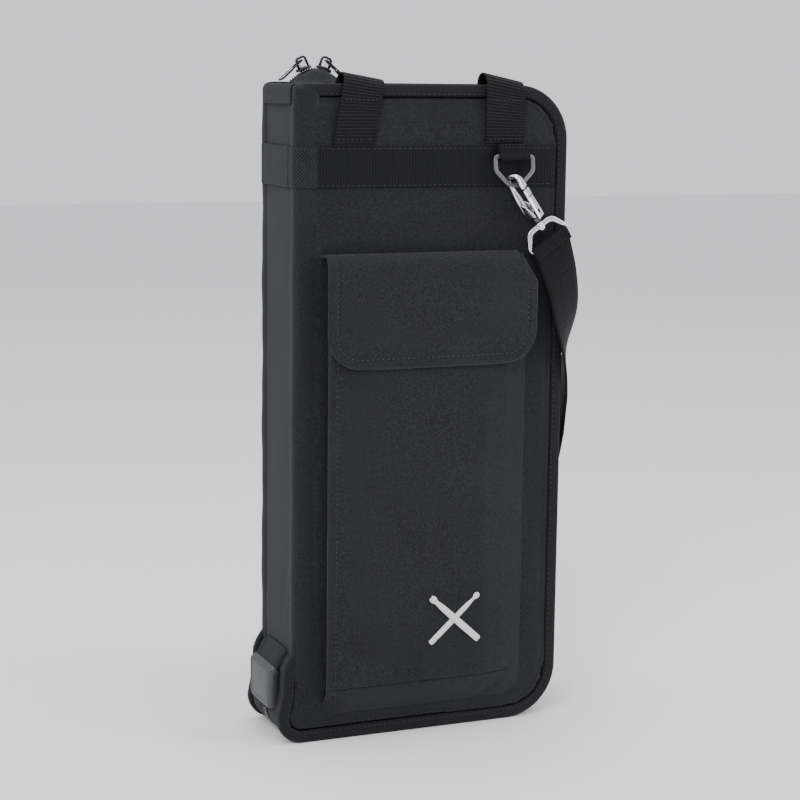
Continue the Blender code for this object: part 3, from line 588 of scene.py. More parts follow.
def lathe(name, profile, material, matrix=None, sides=28, knurl=0.0):
    """Turned metal about the local Z axis, from (radius, height) pairs."""
    verts = []
    for i, (radius, z) in enumerate(profile):
        for m in range(sides):
            r = radius - (knurl if knurl and m % 2 and 0 < i < len(profile) - 1 else 0.0)
            t = 2 * math.pi * m / sides
            verts.append((r * math.cos(t), r * math.sin(t), z))
    faces = loft_faces(len(profile), sides)
    faces += [tuple(range(sides))[::-1], tuple(range((len(profile) - 1) * sides, len(profile) * sides))]
    obj = recalc(new_object(name, verts, faces, material))
    if matrix is not None:
        obj.data.transform(matrix)
    return obj


def surface(name, rows, thick, material, uvs=False, out=1.0):
    """A sheet through rows of points, given a thickness towards its inside."""
    rows = np.asarray(rows, float)
    n, k, _ = rows.shape
    faces = [(i * k + m, i * k + m + 1, (i + 1) * k + m + 1, (i + 1) * k + m)
             for i in range(n - 1) for m in range(k - 1)]
    coords = None
    if uvs:
        along = lengths(rows.mean(1))
        across = lengths(rows.mean(0))
        coords = [(across[m], along[i]) for i in range(n) for m in range(k)]
    obj = new_object(name, rows.reshape(-1, 3), faces, material, uvs=coords)
    modifier(obj, "SOLIDIFY", thickness=thick * MM, offset=-out, use_even_offset=False)
    return apply_modifiers(obj)


def sewn(name, path, normals, material, length=3.0, gap=1.1, radius=0.32, lift=0.12):
    """A row of stitches lying along a path on a surface."""
    path, normals = np.asarray(path, float), np.asarray(normals, float)
    travel = lengths(path)
    verts, faces = [], []
    for s in np.arange(gap, travel[-1] - length, length + gap):
        at = np.array([at_length(t, travel, path) for t in (s, s + length / 2, s + length)])
        up = at_length(s + length / 2, travel, normals)
        up /= np.linalg.norm(up)
        along = at[2] - at[0]
        along /= max(np.linalg.norm(along), 1e-9)
        side = np.cross(up, along)
        base = len(verts)
        for place, grow, raised in ((at[0], 0.45, -0.25), (at[1], 1.0, lift), (at[2], 0.45, -0.25)):
            for a, b in ((1, 0), (0, 1), (-1, 0), (0, -1)):
                verts.append(place + side * a * radius * grow + up * (b * radius * grow * 0.8 + raised))
        faces += loft_faces(3, 4, base)
        faces += [(base + 3, base + 2, base + 1, base), (base + 8, base + 9, base + 10, base + 11)]
    return new_object(name, verts, faces, material)


class Skin:
    """Finds the surface of pieces under a point."""

    def __init__(self, *objs):
        verts, faces = [], []
        for obj in objs:
            base = len(verts)
            verts += [obj.matrix_world @ v.co for v in obj.data.vertices]
            faces += [tuple(base + i for i in p.vertices) for p in obj.data.polygons]
        self.tree = BVHTree.FromPolygons(verts, faces)

    def drop(self, points, direction):
        """Points moved along a direction onto the surface, with its normals."""
        way = Vector(direction)
        places, normals = [], []
        for p in points:
            start = Vector(p) * MM - way * 0.05
            hit, normal, _, _ = self.tree.ray_cast(start, way, 0.12)
            if hit is None:
                continue
            places.append(np.array(hit) / MM)
            normals.append(np.array(normal if normal.dot(way) < 0 else -normal))
        return np.array(places), np.array(normals)


def crease(co, lines, sign=-1):
    """Presses soft lines into a face in Y: from a to b in X and Z, a width and a depth, negative to raise."""
    p = co[:, [0, 2]]
    for a, b, width, depth in lines:
        a, b = np.array(a, float), np.array(b, float)
        d = b - a
        t = np.clip(((p - a) @ d) / (d @ d), 0, 1)
        off = np.linalg.norm(p - (a + t[:, None] * d), axis=1)
        fade = np.sin(np.pi * np.clip(t * 0.9 + 0.05, 0, 1)) ** 0.5
        co[:, 1] -= sign * depth * fade * np.exp(-(off / width) ** 2)


# ---------------------------------------------------------------- outlines

def arch_rise(x):
    """How far the front zip tape stands up in its arch near the spine."""
    left, right, rise = ARCH
    if not left < x < right:
        return 0.0
    return rise * math.cos(math.pi * (x - (left + right) / 2) / (right - left))


def zip_path(drop, step=4.0, arched=False, high_end=True):
    """(x, z) pairs round the zip side, inside the bag's outline by drop: over the top, down and back up."""
    top, radius = TOP - drop, CORNER - drop
    path = [(x, top + (arch_rise(x) if arched else 0.0)) for x in np.arange(PAD_LEFT, ARCH[1] + 1, 2.0)]
    path += arc((RIGHT - CORNER, TOP - CORNER), radius, 90, 0, 18)
    path += arc((RIGHT - CORNER, CORNER), radius, 0, -90, 18)
    full, upper, end = WRAP
    path += arc((full + 20, 20), 20 - drop, -90, -180, 8)
    if high_end:
        path += [(upper + drop - 0.5, 40.0), (upper + drop, end - 5), (upper + drop + 2.5, end + 1),
                 (LEFT + drop * 0.5 + 1.0, end + 8)]
    return resample(path, step)


def outward(path):
    """Unit normals of a path, away from the bag."""
    along = np.gradient(np.asarray(path, float), axis=0)
    along /= np.linalg.norm(along, axis=1)[:, None]
    return np.stack([-along[:, 1], along[:, 0]], axis=1)


def at_depth(path, y):
    """A flat (x, z) path as points at one depth."""
    path = np.asarray(path, float)
    return np.stack([path[:, 0], np.full(len(path), float(y)), path[:, 1]], axis=1)


# ---------------------------------------------------------------- padded cloth

def block(name, outline, low, high, material):
    """A closed slab between two depths."""
    n = len(outline)
    verts = [(x, low, z) for x, z in outline] + [(x, high, z) for x, z in outline]
    faces = [tuple(range(n)), tuple(range(2 * n - 1, n - 1, -1))]
    faces += [(m, n + m, n + (m + 1) % n, (m + 1) % n) for m in range(n)]
    return recalc(new_object(name, verts, faces, material))


def inflate(obj, voxel, cap, pressure=4.0, frames=20):
    """Remeshes a slab and blows it up a little as cloth, which rounds it like padding."""
    modifier(obj, "REMESH", mode="VOXEL", voxel_size=voxel * MM)
    apply_modifiers(obj)
    rest = points_of(obj)
    cloth = modifier(obj, "CLOTH")
    cloth.settings.quality = 4
    cloth.settings.use_pressure = True
    cloth.settings.uniform_pressure_force = pressure
    cloth.settings.effector_weights.gravity = 0
    cloth.point_cache.frame_end = frames
    for number in range(1, frames + 1):
        bpy.context.scene.frame_set(number)
    apply_modifiers(obj)
    bpy.context.scene.frame_set(1)
    move = points_of(obj) - rest
    far = np.linalg.norm(move, axis=1)[:, None]
    set_points(obj, rest + move * np.minimum(1, cap / np.maximum(far, 1e-6)))
    modifier(obj, "SUBSURF", levels=1, render_levels=1)
    apply_modifiers(obj)
    obj.data.shade_smooth()
    return obj


PAD_CREASES = {
    FRONT: (((-98, 486), (-64, 489), 2.2, 0.5), ((-60, 489), (96, 489), 2.0, 0.35),
            ((-90, 482), (-72, 460), 5, 0.45), ((-60, 478), (-30, 486), 6, 0.3),
            ((-104, 330), (-92, 210), 5, 0.35), ((20, 480), (-20, 462), 8, 0.3),
            ((95, 410), (101, 250), 4, 0.4), ((78, 470), (98, 440), 4, -0.4),
            ((88, 240), (98, 120), 6, 0.4), ((-95, 120), (-98, 30), 4, 0.35),
            ((-60, 30), (80, 26), 5, 0.35), ((-100, 418), (-60, 380), 6, 0.3)),
    BACK: (((-60, 360), (40, 330), 9, 0.5), ((-80, 210), (60, 190), 10, 0.4),
           ((60, 110), (96, 70), 6, 0.5), ((-90, 90), (-40, 60), 7, 0.4)),
}


def build_cover_pad(side, word, body, mats):
    """A cover's padded cloth face, its edges tucked under the rim."""
    inside = PAD_IN + 0.1
    under = RIM_W - 3.6
    tucked = PAD_LEFT - 4.5
    path = [tuple(p) for p in zip_path(under, 12.0)]
    outline = [(tucked, TOP - under), *(p for p in path if p[0] > PAD_LEFT - 4 or p[1] < WRAP[2] - 6)]
    outline.append((tucked, WRAP[2] + 2))
    low, high = sorted((side * inside, side * (DEPTH - 1.2)))
    pad = inflate(block(f"{word}_cover_pad", outline, low, high, mats["shell"]), 4.2, 3.0)
    co = points_of(pad)
    depth = side * co[:, 1]
    # The quilted face is held down at its seams, so it crowns between them.
    edge = np.minimum.reduce([RIGHT - RIM_W - co[:, 0], TOP - RIM_W - co[:, 2], co[:, 2] - RIM_W,
                              (co[:, 0] - LEFT) * 1.5])
    crown = DEPTH + 0.1 + 1.1 * np.clip(edge / 30, 0, 1) ** 0.6
    face = depth > DEPTH - 2.6
    co[face, 1] = side * np.minimum(np.maximum(depth[face], crown[face] - 0.8), crown[face])
    co[:, 1] = np.where(side * co[:, 1] < inside, side * inside, co[:, 1])
    picked = co[face]
    crease(picked, PAD_CREASES[side], sign=side)
    co[face] = picked
    set_points(pad, co)
    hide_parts(f"{word}_panel")
    dress(pad, body, "shell_fabric")
    return pad


def superellipse(half_a, half_b, power, steps=24):
    """A profile between an oval and a box."""
    shape = []
    for t in np.linspace(0, 2 * math.pi, steps, endpoint=False):
        c, s = math.cos(t), math.sin(t)
        shape.append((half_a * math.copysign(abs(c) ** (2 / power), c),
                      half_b * math.copysign(abs(s) ** (2 / power), s)))
    return shape


def build_rim(side, word, body, mats):
    """The folded binding round three sides, with its row of stitches."""
    path = at_depth(zip_path(RIM_W / 2, 4.0), side * 34.8)
    rim = tube(f"{word}_rim", path, superellipse(4.5, 3.35, 3.6), mats["edge"])
    dress(rim, body, "binding_fabric", f"{word}_binding")
    skin = Skin(rim)
    points, normals = skin.drop(at_depth(zip_path(RIM_W - 1.6, 3.0), side * 60), (0, -side, 0))
    stitches = sewn(f"{word}_rim_stitches", points, normals, mats["thread"])
    dress(stitches, body, "binding_fabric")


def build_gusset(side, word, body, mats):
    """The zip's cloth wall, a little slack, which stands up in an arch at the front."""
    path = zip_path(3.0, 3.0)
    tape_y, rim_y = 4.2, 31.4
    rows = []
    for (x, z), (nx, nz), s in zip(path, outward(path), lengths(path)):
        rise = arch_rise(x) if side == FRONT and z > TOP / 2 else 0.0
        row = []
        for y in np.linspace(tape_y, rim_y, 12):
            t = (y - tape_y) / (rim_y - tape_y)
            out = 0.9 * math.sin(math.pi * t) + 0.28 * math.sin(s / 2.9) * (1 - t) ** 3
            lift = rise * min(1.0, max(0.0, (24.0 - y) / 14.0)) ** 1.5
            row.append((x + nx * out, side * y, z + nz * out + lift))
        rows.append(row)
    gusset = surface(f"{word}_gusset_cloth", rows, 1.2, mats["shell"], out=float(-side))
    dress(gusset, body, "shell_fabric", f"{word}_gusset")


def below_tab(path):
    """A zip path without the stretch that the garage tab hides."""
    x, z = path.T
    return path[(x >= PAD_LEFT) | (z <= WRAP[2] - 5) | (z >= TOP / 2)]


def build_zip(side, word, body, mats):
    """Half of the zip: woven tape and a row of coil teeth."""
    arched = side == FRONT
    path = below_tab(zip_path(2.4, 2.0, arched))
    rows = []
    for (x, z), (nx, nz) in zip(path, outward(path)):
        rows.append([(x - nx * (0.3 * k), side * y, z - nz * (0.3 * k))
                     for k, y in enumerate((1.2, 2.6, 4.4, 6.5))])
    tape = surface(f"{word}_zip_tape", rows, 0.5, mats["tape"], uvs=True, out=float(-side))
    dress(tape, body, "zip_plastic")

    path = below_tab(resample(zip_path(2.5, 1.0, arched), 0.5))
    travel = lengths(path)
    normal = outward(path)
    pitch = 2.1
    verts, faces = [], []
    for s in np.arange(1.0, travel[-1] - 1, pitch):
        s += pitch / 2 if side == BACK else 0.0
        x, z = at_length(s, travel, path)
        nx, nz = at_length(s, travel, normal)
        base = len(verts)
        for y, grow in ((0.35, 0.55), (0.8, 1.0), (2.6, 0.9), (3.3, 0.5)):
            for t in range(6):
                a = math.pi * t / 3
                u, v = 0.72 * grow * math.cos(a), 1.05 * grow * math.sin(a)
                verts.append((x + nz * u + nx * v, side * y, z - nx * u + nz * v))
        faces += loft_faces(4, 6, base)
        faces += [tuple(base + m for m in range(6)), tuple(base + 18 + m for m in range(6))]
    teeth = recalc(new_object(f"{word}_zip_teeth", verts, faces, mats["coil"]))
    dress(teeth, body, "zip_plastic", f"{word}_zip_chain")


def build_spine(mats):
    """The spine's padded cloth, bulging a little between the covers."""
    low, high = SPINE
    outline = [(low[0] + 0.6, low[2]), (high[0] - 0.3, low[2]), (high[0] - 0.3, high[2] - 0.5),
               (low[0] + 0.6, high[2] - 0.5)]
    pad = inflate(block("spine_pad", outline, low[1] + 1.5, high[1] - 1.5, mats["spine"]), 4.2, 2.0)
    co = points_of(pad)
    from_ends = np.minimum(co[:, 2] - low[2], high[2] - co[:, 2])
    bulge = 0.9 * (1 - (co[:, 1] / 38) ** 2) * np.clip(from_ends / 20, 0, 1)
    face = co[:, 0] < low[0] + 2.4
    co[face, 0] = low[0] - bulge[face]
    swapped = co[face][:, [1, 0, 2]]
    crease(swapped, (((-20, 400), (14, 360), 7, 0.35), ((12, 250), (24, 170), 5, 0.35),
                     ((-24, 150), (-10, 90), 6, 0.4), ((-10, 470), (20, 462), 4, 0.3)))
    co[face, 0] = swapped[:, 1]
    co[:, 1] = np.clip(co[:, 1], low[1] + 0.2, high[1] - 0.2)
    set_points(pad, co)
    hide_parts("spine_panel")
    dress(pad, "spine", "shell_fabric")
    return pad


def fold_columns(side, out):
    """(x, y) pairs from the spine's face round the fold onto a cover's face."""
    spine_x = LEFT - 0.5 - out
    cover_y = DEPTH + 0.75 + out
    points = [(spine_x + 0.9, 27.0), (spine_x + 0.25, 30.0), (spine_x, 32.5)]
    points += arc((spine_x + 4.6, cover_y - 4.6), 4.6, 180, 90, 7)
    points += [(spine_x + 7.5, cover_y), (spine_x + 11.0, cover_y - 0.25), (spine_x + 14.5, cover_y - 0.8),
               (spine_x + 18.0, cover_y - 1.7)]
    return [(x, side * y) for x, y in points]


def fold_blend(obj):
    """Bakes a piece's placement into its mesh."""
    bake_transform(obj)


def build_fold(side, word, mats):
    """Cloth that turns the corner between the spine and a cover."""
    rows = []
    low, round_top, turn = WRAP[2] - 20, TOP - 5.2, 4.6
    levels = [(z, 0.0) for z in np.arange(low, round_top, 4.0)]
    levels += [(z, turn - inner) for inner, z in arc((0.0, round_top), turn, 0, 90, 6)]
    levels += [(TOP - 0.5, 8.0), (TOP - 0.9, 12.0)]
    for z, inset in levels:
        sway = 0.22 * math.sin(z / 17.0) + 0.12 * math.sin(z / 6.1 + side)
        sunk = max(0.0, (low + 12 - z) / 12) * 2.2
        rows.append([(x, y, z) for x, y in fold_columns(side, sway - sunk - inset)])
    fold = surface(f"{word}_fold_cloth", rows, 1.0, mats["shell"], out=float(side))
    fold_blend(fold)


# ---------------------------------------------------------------- webbing bands

def build_bands(mats):
    """The webbing band across the front, the spine and the back, with its stitches."""
    low, high = box_mm("front_band")
    middle = (low[2] + high[2]) / 2
    width = high[2] - low[2]
    profile = flat_profile(width, 1.3, 12)
    reach = LEFT - 1.5
    for side, word in ((FRONT, "front"), (BACK, "back")):
        y = side * (DEPTH + 1.55)
        start = -95.0
        path = [(x, y + side * 0.15 * math.sin(x / 23), middle) for x in np.arange(start, high[0] + 0.1, 3.0)]
        band = tube(f"{word}_webbing_band", path, profile, mats["ribband"], side=(0, 0, 1))
        dress(band, f"{word}_cover", "black_webbing", f"{word}_band")
        path = [(reach, side * 24, middle), (reach, side * 30, middle)]
        bend = arc((reach + 5.5, side * y - 5.5), 5.5, 180, 90, 8)
        path += [(x, side * out, middle) for x, out in bend]
        path += [(LEFT + 8, y, middle), (start - 1, y, middle), (start + 0.5, y, middle)]
        corner = tube(f"{word}_band_corner", resample(path, 2.0), profile, mats["band"], side=(0, 0, 1))
        fold_blend(corner)
        rows = []
        for z in (low[2] + 1.8, high[2] - 1.8):
            row = [(x, side * (DEPTH + 2.25), z) for x in np.arange(start + 1, high[0] - 1, 3.0)]
            rows.append(sewn("row", row, [(0, side, 0)] * len(row), mats["thread"]))
        stitches = join(f"{word}_band_stitches", rows)
        dress(stitches, f"{word}_cover", "black_webbing")
    path = [(reach - 0.25 * (1 - (y / 30) ** 2), y, middle) for y in np.linspace(-26, 26, 19)]
    band = tube("spine_webbing_band", path, profile, mats["band"], side=(0, 0, 1))
    dress(band, "spine", "black_webbing", "spine_band")


# ---------------------------------------------------------------- pocket and flap

POCKET = box_mm("pocket_body")
FLAP = box_mm("pocket_flap")
FACE = POCKET[1][1]                           # the depth of the cover's face behind the pocket
FLUSH = 37.2                                  # where the pocket's sewn edges lie, forward of the middle
SEAM = 0.6                                    # how far the pocket's cloth starts left of the pocket
POCKET_FOOT = 20.0
POCKET_END = 81.0


def edge_roll(distance, reach, drop):
    """How far a sheet curls back near its edge."""
    t = np.clip(1 - np.asarray(distance, float) / reach, 0, 1)
    return drop * (1 - np.sqrt(1 - t ** 2 * 0.98))


def pocket_depth(gx, gz):
    """How far the pocket's cloth stands forward at each X and Z."""
    (left, back, low), (right, _, high) = POCKET
    front = -back
    start = left - SEAM
    stations = [left, right - 32, right - 14, right, POCKET_END]
    depth = np.interp(gx, stations, [front + 0.5, front + 0.6, 47.6, 42.0, FLUSH])
    slope = 1 - (1 - np.clip((gz - POCKET_FOOT) / (low - POCKET_FOOT), 0, 1)) ** 1.5
    corner = np.clip((gx - start) / 16, 0, 1) ** 0.7
    depth = FLUSH + (depth - FLUSH) * slope * (corner + (1 - corner) * slope ** 3)
    depth -= 1.5 * np.exp(-((gz - low) / 0.75) ** 2) * np.clip((right - 4 - gx) / 10, 0, 1)
    u = np.clip((gx - left) / (right - left), 0, 1)
    v = np.clip((gz - low) / (high - low) * 0.9 + 0.08, 0, 1)
    depth += 0.9 * np.sin(np.pi * u) ** 0.7 * np.sin(np.pi * v) ** 0.6
    depth -= edge_roll(gx - start, 4.5, 4.4) * np.clip((gz - low + 6) / 6, 0, 1)
    # The last term is the groove of a stitch line a little inside the sewn edge.
    return np.maximum(depth, FLUSH - 0.2) - 0.35 * np.exp(-((gx - left - 5.5) / 1.2) ** 2)


def build_pocket(mats, pad):
    """The pocket's cloth, the pleat at its left and its rows of stitches."""
    (left, back, low), (right, _, high) = POCKET
    front = -back
    xs = np.concatenate((left - SEAM + np.array([0, 0.5, 1.2, 2.2, 3.4, 5.0]),
                         np.linspace(left + 8, POCKET_END, 58)))
    zs = np.concatenate((np.linspace(POCKET_FOOT, low - 3, 9),
                         low + np.array([-1.8, -1.0, -0.5, 0, 0.5, 1.0, 1.8, 3.0, 5.0]),
                         np.linspace(low + 8, high, 84)))
    gx, gz = np.meshgrid(xs, zs)
    co = np.stack([gx, -pocket_depth(gx, gz), gz], axis=2).reshape(-1, 3)
    crease(co, (((-84, 352), (-60, 300), 7, 0.6), ((-86, 160), (-80, 80), 5, 0.5),
                ((60, 350), (66, 210), 5, 0.7), ((62, 200), (56, 90), 6, 0.6),
                ((-70, 56), (30, 52), 5, 0.5), ((-40, 200), (20, 170), 20, 0.35),
                ((69, 47), (40, 22), 4.5, 1.3), ((70, 44), (58, 24), 4, -0.9),
                ((66, 46), (24, 33), 4, 0.7), ((-30, 40), (-60, 26), 6, 0.6),
                ((-80, 60), (-66, 50), 4, 0.6)))
    sheet = surface("pocket_front_cloth", co.reshape(len(zs), len(xs), 3), 1.3, mats["pocket"])
    dress(sheet, "front_cover", "pocket_fabric", "pocket_body")

    # The pleat at the pocket's left, its cloth painted near black as the shade in the fold, which gives the
    # pocket its depth.
    path = [(left + 3.0, high - 0.5), (left + 3.0, low + 5), (left + 4.0, low - 3), (left + 5.0, low - 9)]
    path = resample(path, 5.0)
    rows = []
    for (x, z), (nx, nz) in zip(path, outward(path)):
        deep = np.interp(x, [left, right - 30, right - 12, right], [front - 3.0, front - 3.0, 44.0, 40.0])
        row = []
        for t in np.linspace(0, 1, 7):
            tuck = 1.6 * math.sin(math.pi * t)
            row.append((x + nx * tuck, FACE + 0.3 - (deep + FACE + 0.3) * t, z + nz * tuck))
        rows.append(row)
    pleat = surface("pocket_pleat", rows, 0.8, mats["gap"], out=0.0)
    dress(pleat, "front_cover", "pocket_fabric")

    lines = [[(left + 5.5, -70, z) for z in np.arange(low + 7, high - 2, 3.0)],
             [(x, -70, 12.5) for x in np.arange(left + 7, right - 8, 3.0)]]
    skin = Skin(sheet, pad)
    rows = [sewn("row", *skin.drop(line, (0, 1, 0)), mats["thread"]) for line in lines]
    stitches = join("pocket_stitches", rows)
    dress(stitches, "front_cover", "pocket_fabric")
    return sheet


def build_flap(mats):
    """The flap's cloth, bent from its seam down over the pocket, and its stitches."""
    (left, back, low), (right, _, top) = FLAP
    right -= 5.0
    front = -back
    corner = 25.0
    cut_from = 65.0                           # the top right corner is cut away beside the strap ring
    section = curve_through([(-FACE + 0.2, 0, top - 0.9), (43.0, 0, top + 0.2), (48.0, 0, top + 0.1),
                             (52.6, 0, top - 3.4), (front - 0.3, 0, top - 10), (front + 0.2, 0, top - 26),
                             (front + 0.1, 0, low + 30), (front - 0.2, 0, low)], 1.0)
    travel = lengths(section)
    margin = np.array([0, 0.7, 1.6, 2.8, 4.2, 6.0, 7.2, 8.4, 9.8, 12.0, 15.0, 19.0, 24.0])
    xs = np.concatenate((left + margin, np.linspace(left + 30, right - 30, 34), right - margin[::-1]))
    rows = []
    for t in np.linspace(0, 1, 65):
        row = []
        for x in xs:
            near = min(x - left, right - x)
            sweep = max(0.0, corner - near)
            end_z = low + 1.2 * math.cos((x - left) / 28.0) + corner - math.sqrt(corner ** 2 - sweep ** 2)
            start = 0.0
            if x > cut_from:
                start_z = top - (x - cut_from) * 1.6
                start = np.interp(-start_z, -section[12:, 2], travel[12:]) * min(1.0, (x - cut_from) / 4)
            end = np.interp(-end_z, -section[:, 2], travel)
            s = start + (end - start) * t
            y, _, z = at_length(s, travel, section)
            below = end - s
            edge = min(near, below)
            if near < corner and below < corner + 8:
                dx = corner - near
                dz = corner - (z - low)
                if dx > 0 and dz > 0:
                    edge = min(edge, corner - math.hypot(dx, dz))
            y -= float(edge_roll(max(edge, 0.0), 2.4, 1.3))
            if s > 14:
                y -= 0.65 * math.exp(-((edge - 8.0) / 1.1) ** 2)
                across = math.sin(math.pi * min(1.0, max(0.0, (x - left) / (right - left))))
                y += 0.9 * across ** 0.7 * math.sin(math.pi * min(1.0, t * 1.05)) ** 0.8
            row.append((x, -y, z))
        rows.append(row)
    co = np.array(rows).reshape(-1, 3)
    crease(co, (((-84, 366), (-52, 330), 7, 0.5), ((-40, 364), (30, 360), 5, 0.35),
                ((56, 366), (74, 318), 6, 0.6), ((-20, 300), (40, 303), 6, 0.35),
                ((-86, 340), (-80, 306), 4, 0.35)))
    flap = surface("pocket_flap_cloth", co.reshape(np.array(rows).shape), 2.0, mats["pocket"], out=-1.0)
    dress(flap, "flap", "pocket_fabric", "pocket_flap", "flap_binding")

    inset = 8.0
    edge = corner - inset
    line = [(right - inset, z) for z in np.arange(top - 24, low + corner, -3.0)]
    line += arc((right - corner, low + corner), edge, 0, -90, 9)
    line += arc((left + corner, low + corner), edge, -90, -180, 9)
    line += [(left + inset, z) for z in np.arange(low + corner, top - 8, 3.0)]
    line = resample(line, 3.0)
    points, normals = Skin(flap).drop(at_depth(line, -80), (0, 1, 0))
    stitches = sewn("flap_stitches", points, normals, mats["seam"], radius=0.3)
    dress(stitches, "flap", "pocket_fabric")


def build_emblem(mats, pocket):
    """Two crossed sticks in raised satin stitch, a plain generic mark."""
    low, high = box_mm("emblem")
    centre = (low + high) / 2
    half = 27.5
    skin = Skin(pocket)
    outline = ((-1.0, 1.3), (-0.97, 2.3), (-0.2, 2.45), (0.50, 2.1), (0.76, 1.25), (0.80, 1.3), (0.84, 2.1),
               (0.90, 2.6), (0.96, 2.2), (1.0, 1.0))
    sticks = []
    for number, lean in enumerate((42.0, 138.0)):
        along = np.array((math.cos(math.radians(lean)), math.sin(math.radians(lean))))
        across = np.array((-along[1], along[0]))
        reach = np.linspace(-1, 1, 90)
        breadth = np.interp(reach, [r for r, _ in outline], [b for _, b in outline])
        verts = []
        columns = 9
        for r, b in zip(reach, breadth):
            for c in np.linspace(-1, 1, columns):
                place = np.array((centre[0], centre[2])) + along * r * half + across * b * c
                ray, _ = skin.drop([(place[0], -80, place[1])], (0, 1, 0))
                rise = 0.30 + (0.55 + 0.12 * number) * math.sqrt(1 - (c * 0.96) ** 2)
                verts.append((place[0], ray[0][1] - rise, place[1]))
        rows = np.array(verts).reshape(len(reach), columns, 3)
        sticks.append(surface(f"stick_{number}", rows, 0.9, mats["emblem"], out=-1.0 if number == 0 else 1.0))
    emblem = join("crossed_sticks_emblem", sticks)
    dress(emblem, "front_cover", "white_thread", "emblem")


# ---------------------------------------------------------------- handles

def shaped(obj, change):
    """Moves every point of a piece by a function of its array of places."""
    co = points_of(obj)
    change(co)
    set_points(obj, co)
    return obj


def build_handles(mats):
    """Two webbing strips up the front and over the top, and the grip that joins them."""
    low, high = box_mm("front_handle")
    width, radius = 32.5, 8.7
    face = low[1] + 0.8
    seam = low[2]
    inner = face + 2 * radius
    path = [(face + 1.7, seam - 1.4), (face + 1.0, seam + 1.2), (face + 0.2, seam + 5), (face, seam + 9),
            *arc((face + radius, TOP - 0.2), radius, 180, 0, 26), (inner, TOP - 1.2)]
    path = resample(path, 0.6)
    travel = lengths(path)

    def ribs(t):
        s = t * travel[-1]
        swell = 0.42 * max(0.0, math.cos(2 * math.pi * s / 2.5)) if 3 < s < travel[-1] - 20 else 0.1
        return flat_profile(width, 1.5 + swell, 8)

    left_foot, left_lean, right_foot = -67.2, 0.17, 56.2

    def lean(co):
        co[:, 0] += left_foot + (co[:, 2] - seam) * left_lean
        co[:, 2] -= np.maximum(co[:, 0] + 78, 0) * 0.17 * np.clip((co[:, 2] - TOP + 22) / 26, 0, 1)

    def slope(co):
        co[:, 0] += right_foot
        co[:, 2] -= np.maximum(co[:, 0] - 40, 0) * 0.21 * np.clip((co[:, 2] - TOP + 34) / 38, 0, 1)
        tuck = np.clip((seam + 12 - co[:, 2]) / 12, 0, 1) * np.clip((co[:, 0] - 62) / 10, 0, 1)
        co[:, 0] -= 2.2 * tuck

    for word, change in (("left", lean), ("right", slope)):
        places = [(0, y, z) for y, z in path]
        strip = shaped(tube(f"handle_strip_{word}", places, ribs, mats["ribbed"], side=(1, 0, 0)), change)
        dress(strip, "handle", "black_webbing", "front_handle")
        rows = []
        for z in (seam + 3.2, TOP - 11.5):
            centre = left_foot + (z - seam) * left_lean if word == "left" else right_foot
            line = [(x, -80, z) for x in np.arange(centre - 14.5, centre + 14.6, 1.5)]
            points, normals = Skin(strip).drop(line, (0, 1, 0))
            rows.append(sewn("row", points, normals, mats["thread"], 2.6, 0.9))
        stitches = join(f"handle_stitches_{word}", rows)
        dress(stitches, "handle", "black_webbing")
    path = [(x, inner - 0.2 + 0.5 * math.sin(x / 30), TOP - 1.15 + 0.3 * math.cos(x / 22))
            for x in np.arange(low[0] + 22, high[0] - 0.5, 3.0)]
    grip = tube("handle_grip", path, flat_profile(13.5, 1.7, 8), mats["strap"], side=(0, 1, 0))
    dress(grip, "handle", "black_webbing")


# ---------------------------------------------------------------- rings and hooks

RING_HOLD = box_mm("front_ring_loop")


def rounded(points, radius, steps=5, closed=True):
    """A polygon with its corners rounded."""
    pts = [np.array(p, float) for p in points]
    out = []
    for i, p in enumerate(pts):
        before, after = pts[i - 1], pts[(i + 1) % len(pts)]
        if not closed and i in (0, len(pts) - 1):
            out.append(p)
            continue
        a, b = before - p, after - p
        cut = min(radius, np.linalg.norm(a) / 2.05, np.linalg.norm(b) / 2.05)
        a, b = p + a / np.linalg.norm(a) * cut, p + b / np.linalg.norm(b) * cut
        for t in np.linspace(0, 1, steps + 1):
            out.append((1 - t) ** 2 * a + 2 * t * (1 - t) * p + t ** 2 * b)
    return np.array(out)


def rounded_loop(points, radius, step, steps=5):
    """A rounded polygon with a point about every step, its last point not repeated."""
    shape = rounded(points, radius, steps)
    return resample([*shape, shape[0]], step)[:-1]


def mirrored(half):
    """An outline from its left half, which is listed round to the middle."""
    return (*half, *((-x, z) for x, z in reversed(half)))


def hook_frame(side):
    """The hook's place: Z up its shank and X out through its gate, and its swivel's turn about Z."""
    slant = math.radians(34.0 if side == FRONT else 5.0)
    turn = math.radians(32.0 if side == FRONT else 0.0)
    up = Vector((-math.sin(slant), 0.0, math.cos(slant)))
    out = Vector((0.0, side, 0.0))
    aside = Vector((math.cos(slant), 0.0, math.sin(slant)))
    gate = out * math.cos(turn) + aside * math.sin(turn)
    origin = Vector((63.0, side * 47.2, 425.0)) - up * 6.4 + out * 0.6
    axes = Matrix((gate, up.cross(gate), up)).transposed().to_4x4()
    return Matrix.Translation(origin * MM) @ axes, Matrix.Rotation(math.radians(90) - turn, 4, "Z")


def placed(obj, matrix):
    """A piece with its mesh moved by a matrix."""
    obj.data.transform(matrix)
    return obj


